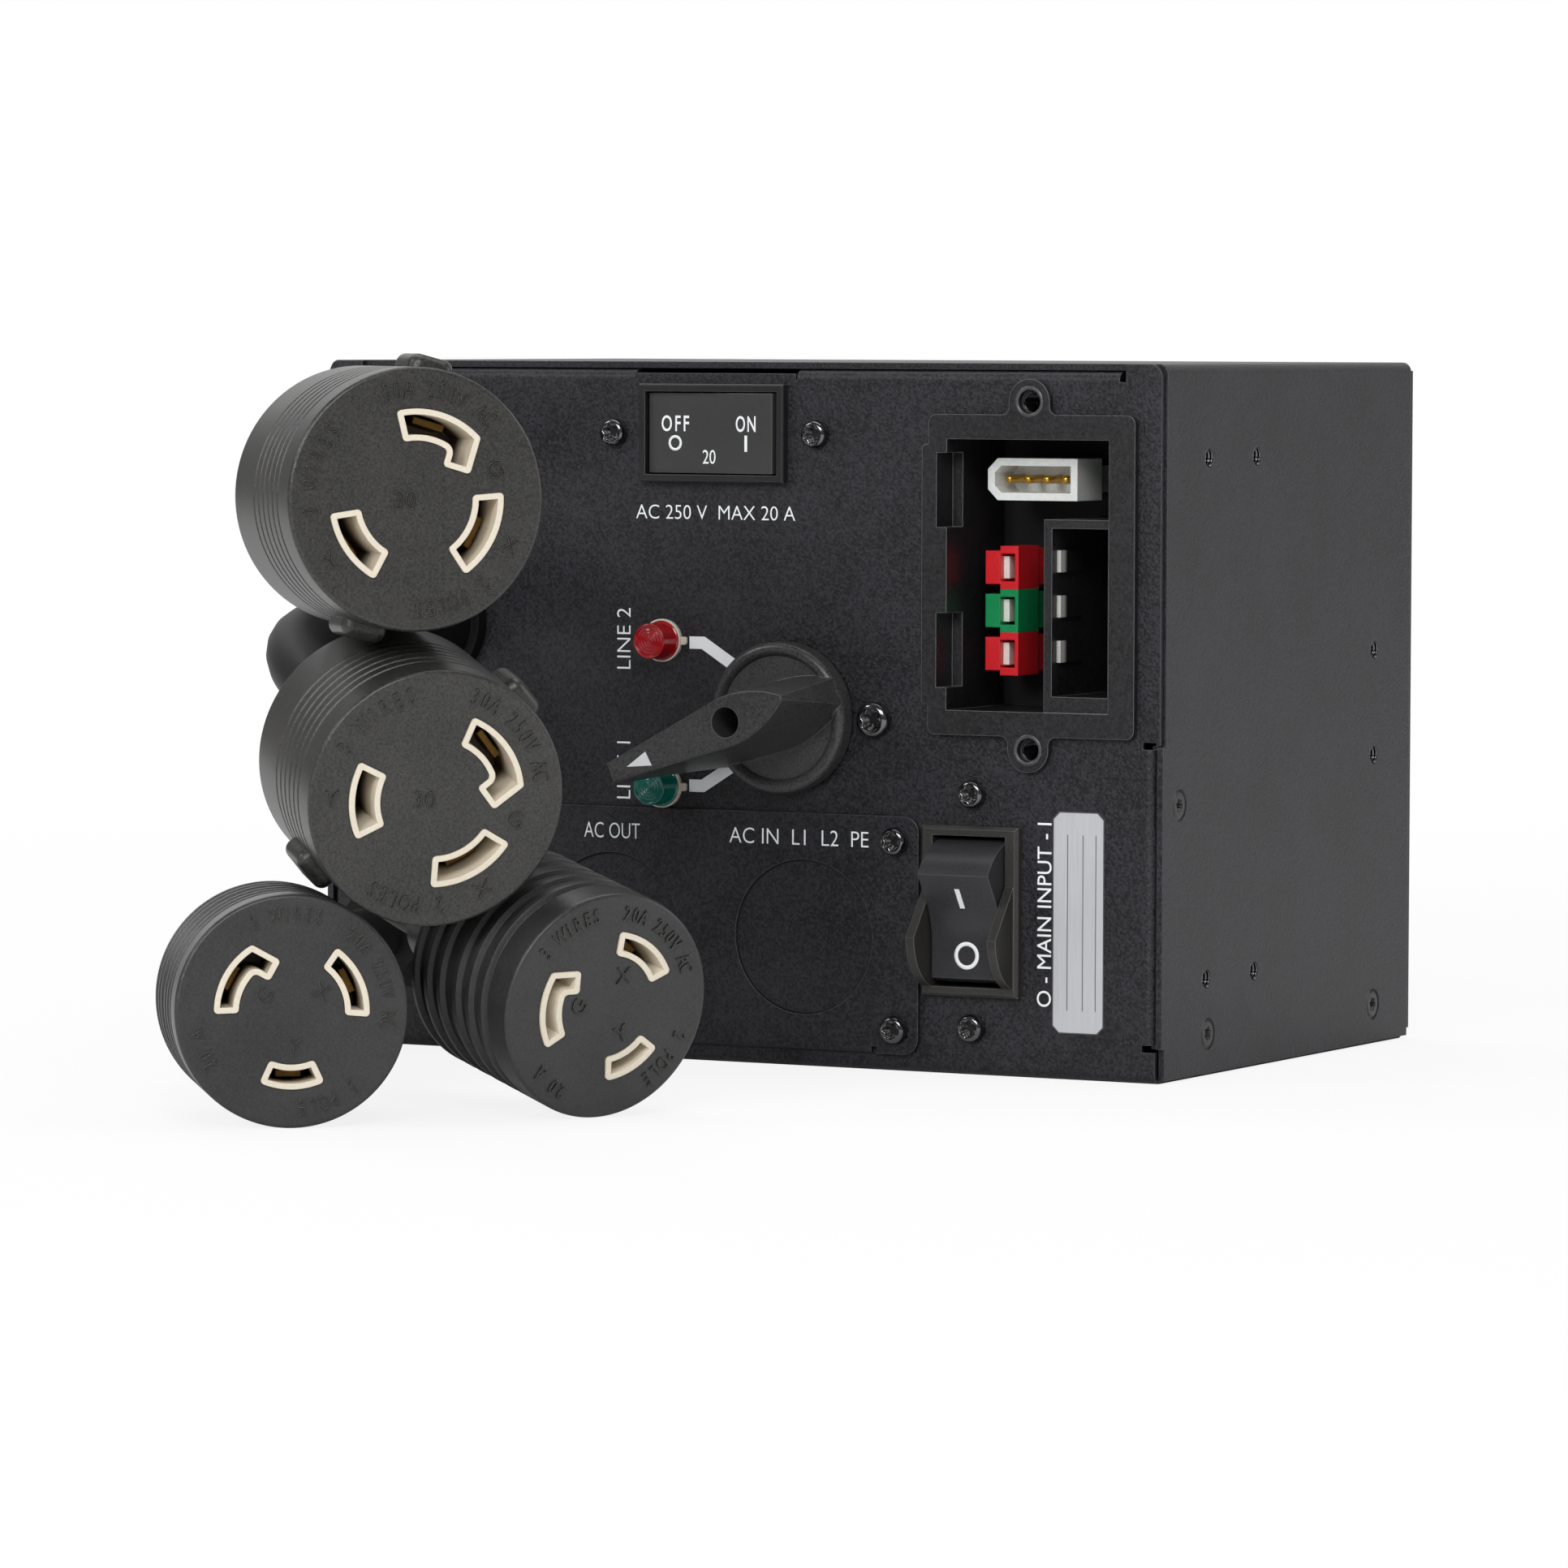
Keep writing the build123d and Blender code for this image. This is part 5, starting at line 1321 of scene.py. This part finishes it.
@dataclass(frozen=True)
class Softbox:
    """One rectangular lamp, with its place, aim and size in metres and its power in watts."""

    name: str
    at: Point
    size: tuple[float, float]
    watts: float
    aim: Point = STUDIO_MIDDLE

    def build(self) -> None:
        """Adds the lamp, which the camera doesn't see."""
        data = bpy.data.lights.new(self.name, "AREA")
        data.shape = "RECTANGLE"
        data.size, data.size_y = self.size
        data.energy = self.watts
        made = put(self.name, data)
        made.location = self.at
        made.rotation_mode = "QUATERNION"
        made.rotation_quaternion = (Vector(self.aim) - Vector(self.at)).to_track_quat("-Z", "Y")
        made.visible_camera = False


SOFTBOXES = (
    Softbox("key", (1.0, -1.9, 1.3), (1.0, 0.8), 22),
    Softbox("fill", (0.0, -2.15, 0.85), (0.6, 0.6), 14),
    Softbox("slant", (-1.4, -1.3, 1.25), (0.6, 0.6), 9),
    Softbox("left", (-1.0, 0.45, 1.45), (0.7, 0.6), 3.5, (0.0, -0.17, 0.07)),
    Softbox("top", (0.0, 0.25, 1.7), (1.6, 1.0), 12),
    Softbox("right", (1.9, 1.0, 0.6), (1.3, 1.3), 10),
    Softbox("behind", (-0.8, 2.0, 0.6), (3.0, 1.3), 12),
)


@dataclass
class Studio:
    """Camera, lamps, floor and backdrop."""

    camera_at: Point = (0.69790, -1.33183, 0.13652)
    pan: float = -28.295
    tilt: float = 3.330
    roll: float = -0.161
    lens: float = 180.46
    sensor: float = 36.0
    floor_half: float = 6.0
    ambient: float = 0.18
    shadow_share: float = 0.86
    fade_from: float = 0.25
    fade_to: float = 0.8

    def camera(self) -> None:
        """Places the camera by its pan, tilt and roll."""
        pan, tilt, roll = (radians(v) for v in (self.pan, self.tilt, self.roll))
        ahead = Vector((sin(pan) * cos(tilt), cos(pan) * cos(tilt), -sin(tilt)))
        level = Vector((cos(pan), -sin(pan), 0))
        below = ahead.cross(level)
        right = level * cos(roll) + below * sin(roll)
        up = level * sin(roll) - below * cos(roll)
        data = bpy.data.cameras.new("camera")
        data.sensor_width = self.sensor
        data.lens = self.lens
        data.clip_start = 0.05
        data.clip_end = 50
        made = put("camera", data)
        turn = Matrix((right, up, -ahead)).transposed().to_4x4()
        made.matrix_world = Matrix.Translation(self.camera_at) @ turn
        bpy.context.scene.camera = made

    def backdrop(self) -> None:
        """Makes the world: white to the camera and through clear pieces, soft grey light elsewhere."""
        world = bpy.data.worlds.new("studio")
        bpy.context.scene.world = world
        world.use_nodes = True
        tree = world.node_tree
        tree.nodes.clear()
        path = add(tree, "LightPath")
        seen = add(
            tree, "Math", {"operation": "MAXIMUM"},
            {0: path.outputs["Is Camera Ray"], 1: path.outputs["Is Transmission Ray"]},
        )
        light = {"Value": seen.outputs[0], "To Min": self.ambient, "To Max": 1.0}
        strength = add(tree, "MapRange", inputs=light).outputs["Result"]
        sky = add(tree, "Background", inputs={"Color": linear("ffffff"), "Strength": strength})
        add(tree, "OutputWorld", inputs={"Surface": sky.outputs["Background"]})

    def floor(self) -> None:
        """Makes the floor: white to the camera apart from a soft shadow, which fades with distance."""
        skin = bpy.data.materials.new("white_sweep")
        skin.use_nodes = True
        tree = skin.node_tree
        tree.nodes.clear()
        path = add(tree, "LightPath")
        place = add(tree, "TexCoord").outputs["Object"]
        distance = add(tree, "VectorMath", {"operation": "LENGTH"}, {0: place})
        white = add(
            tree, "MapRange", {"interpolation_type": "SMOOTHSTEP"},
            {
                "Value": distance.outputs["Value"], "From Min": self.fade_from, "From Max": self.fade_to,
                "To Min": self.shadow_share, "To Max": 1.0,
            },
        )
        matt = add(tree, "BsdfDiffuse", inputs={"Color": linear("f2f2f2")})
        glow = add(tree, "Emission", inputs={"Color": linear("ffffff"), "Strength": 1.0})
        share = add(
            tree, "Math", {"operation": "MULTIPLY"},
            {0: path.outputs["Is Camera Ray"], 1: white.outputs["Result"]},
        )
        both = add(
            tree, "MixShader",
            inputs={0: share.outputs[0], 1: matt.outputs["BSDF"], 2: glow.outputs["Emission"]},
        )
        add(tree, "OutputMaterial", inputs={"Surface": both.outputs["Shader"]})
        span = np.linspace(-self.floor_half, self.floor_half, 9)
        across, along = np.meshgrid(span, span)
        mesh = surface("floor", np.stack([across, along, np.zeros_like(across)], axis=-1), closed=False)
        mesh.materials.append(skin)
        made = put("floor", mesh)

    def build(self) -> None:
        """Sets up the whole studio."""
        bpy.context.scene.view_settings.view_transform = "Standard"
        self.camera()
        self.backdrop()
        self.floor()
        for softbox in SOFTBOXES:
            softbox.build()


FACES = (
    ReceptacleFace(1, Size.LARGE, (10.746, -187.236, 107.090), 47.5, 0.0, 73.0),
    ReceptacleFace(2, Size.LARGE, (13.254, -184.717, 56.113), 46.5, -10.5, 38.0),
    ReceptacleFace(3, Size.SMALL, (-7.35, -198.17, 20.0), 38.5, 0.0, 151.0),
    ReceptacleFace(4, Size.SMALL, (32.394, -159.79, 19.693), 61.0, -11.0, 181.0),
)
CORDS = (
    Cord(1, 11.0, 95.0, (
        (-65.0, -74.3, 110.0), (-65.0, -89.3, 110.0), (-61.4, -107.1, 109.7), (-52.9, -125.2, 108.9),
        (-39.389, -141.296, 107.09), (-23.906, -155.483, 107.09),
    )),
    Cord(2, 11.0, 97.6, (
        (-65.0, -74.3, 81.0), (-65.0, -94.3, 81.0), (-58.9, -114.5, 78.7), (-47.0, -131.5, 74.2),
        (-28.827, -144.784, 66.865), (-20.268, -152.906, 64.678),
    )),
    Cord(3, 9.8, 86.0, (
        (-65.0, -74.3, 23.0), (-65.0, -98.8, 23.0), (-62.0, -122.0, 20.8), (-54.661, -138.692, 20.0),
        (-42.211, -154.344, 20.0),
    )),
    Cord(4, 9.8, 88.4, (
        (-65.0, -74.3, 52.0), (-65.0, -89.4, 52.0), (-59.5, -106.1, 48.8), (-46.2, -121.2, 41.5),
        (-25.734, -127.572, 32.610), (-15.689, -133.140, 30.378),
    )),
)
HIDDEN_TURN = radians(22.5)
SCREWS = (
    ScrewHeads("breaker_screw_heads", "breaker_screws", ((-25.15, 116.8), (17.35, 116.8)), 2.6),
    ScrewHeads("switch_screw_heads", "switch_screws", ((50.0, 51.5), (50.0, 8.7)), 2.6),
    ScrewHeads(
        "cover_screw_heads", "terminal_cover_screws",
        ((-44.6, 7.8), (-44.6, 42.4), (34.6, 7.8), (34.6, 42.4)), 2.6, face_y=PLATE_Y,
    ),
    ScrewHeads(
        "bypass_screw_heads", "bypass_switch_screws",
        (
            (BYPASS_X + BYPASS_SCREW_REACH, BYPASS_Z),
            (
                BYPASS_X - BYPASS_SCREW_REACH * cos(HIDDEN_TURN),
                BYPASS_Z - BYPASS_SCREW_REACH * sin(HIDDEN_TURN),
            ),
        ),
        3.3, recess=1.8,
    ),
)
LENSES = (
    LampLens("red_lens", "red_lamp_lens", "red_lens", RED_ACRYLIC, BYPASS_Z + LAMP_OFFSET),
    LampLens("green_lens", "green_lamp_lens", "green_lens", GREEN_ACRYLIC, BYPASS_Z - LAMP_OFFSET),
)
HOLES = (
    ThreadedHoles("wall_threads", tuple(on_wall(side, x, y, z) for side, x in WALLS for y, z in TAPPED)),
    ThreadedHoles("ear_threads", tuple(on_panel(x, z) for x, z in EARS), outer=1.96, depth=6.0, lip=0.05),
)
PIECES = (
    *FACES, *CORDS, *SCREWS, *LENSES, SideHeads(), *HOLES, Eyelets(), LampTabs(), KnockoutShadowRings(),
    PanelPrint(), LabelPlate(), BreakerMarks(), SwitchMarks(), HandleMark(),
)


def main() -> None:
    """Builds the studio, dresses the solids and adds the pieces that only the eye needs."""
    logging.basicConfig(level=logging.INFO, format="%(name)s %(message)s")
    Studio().build()
    dress_frame()
    for made in PIECES:
        made.build()


if __name__ == "__main__":
    main()
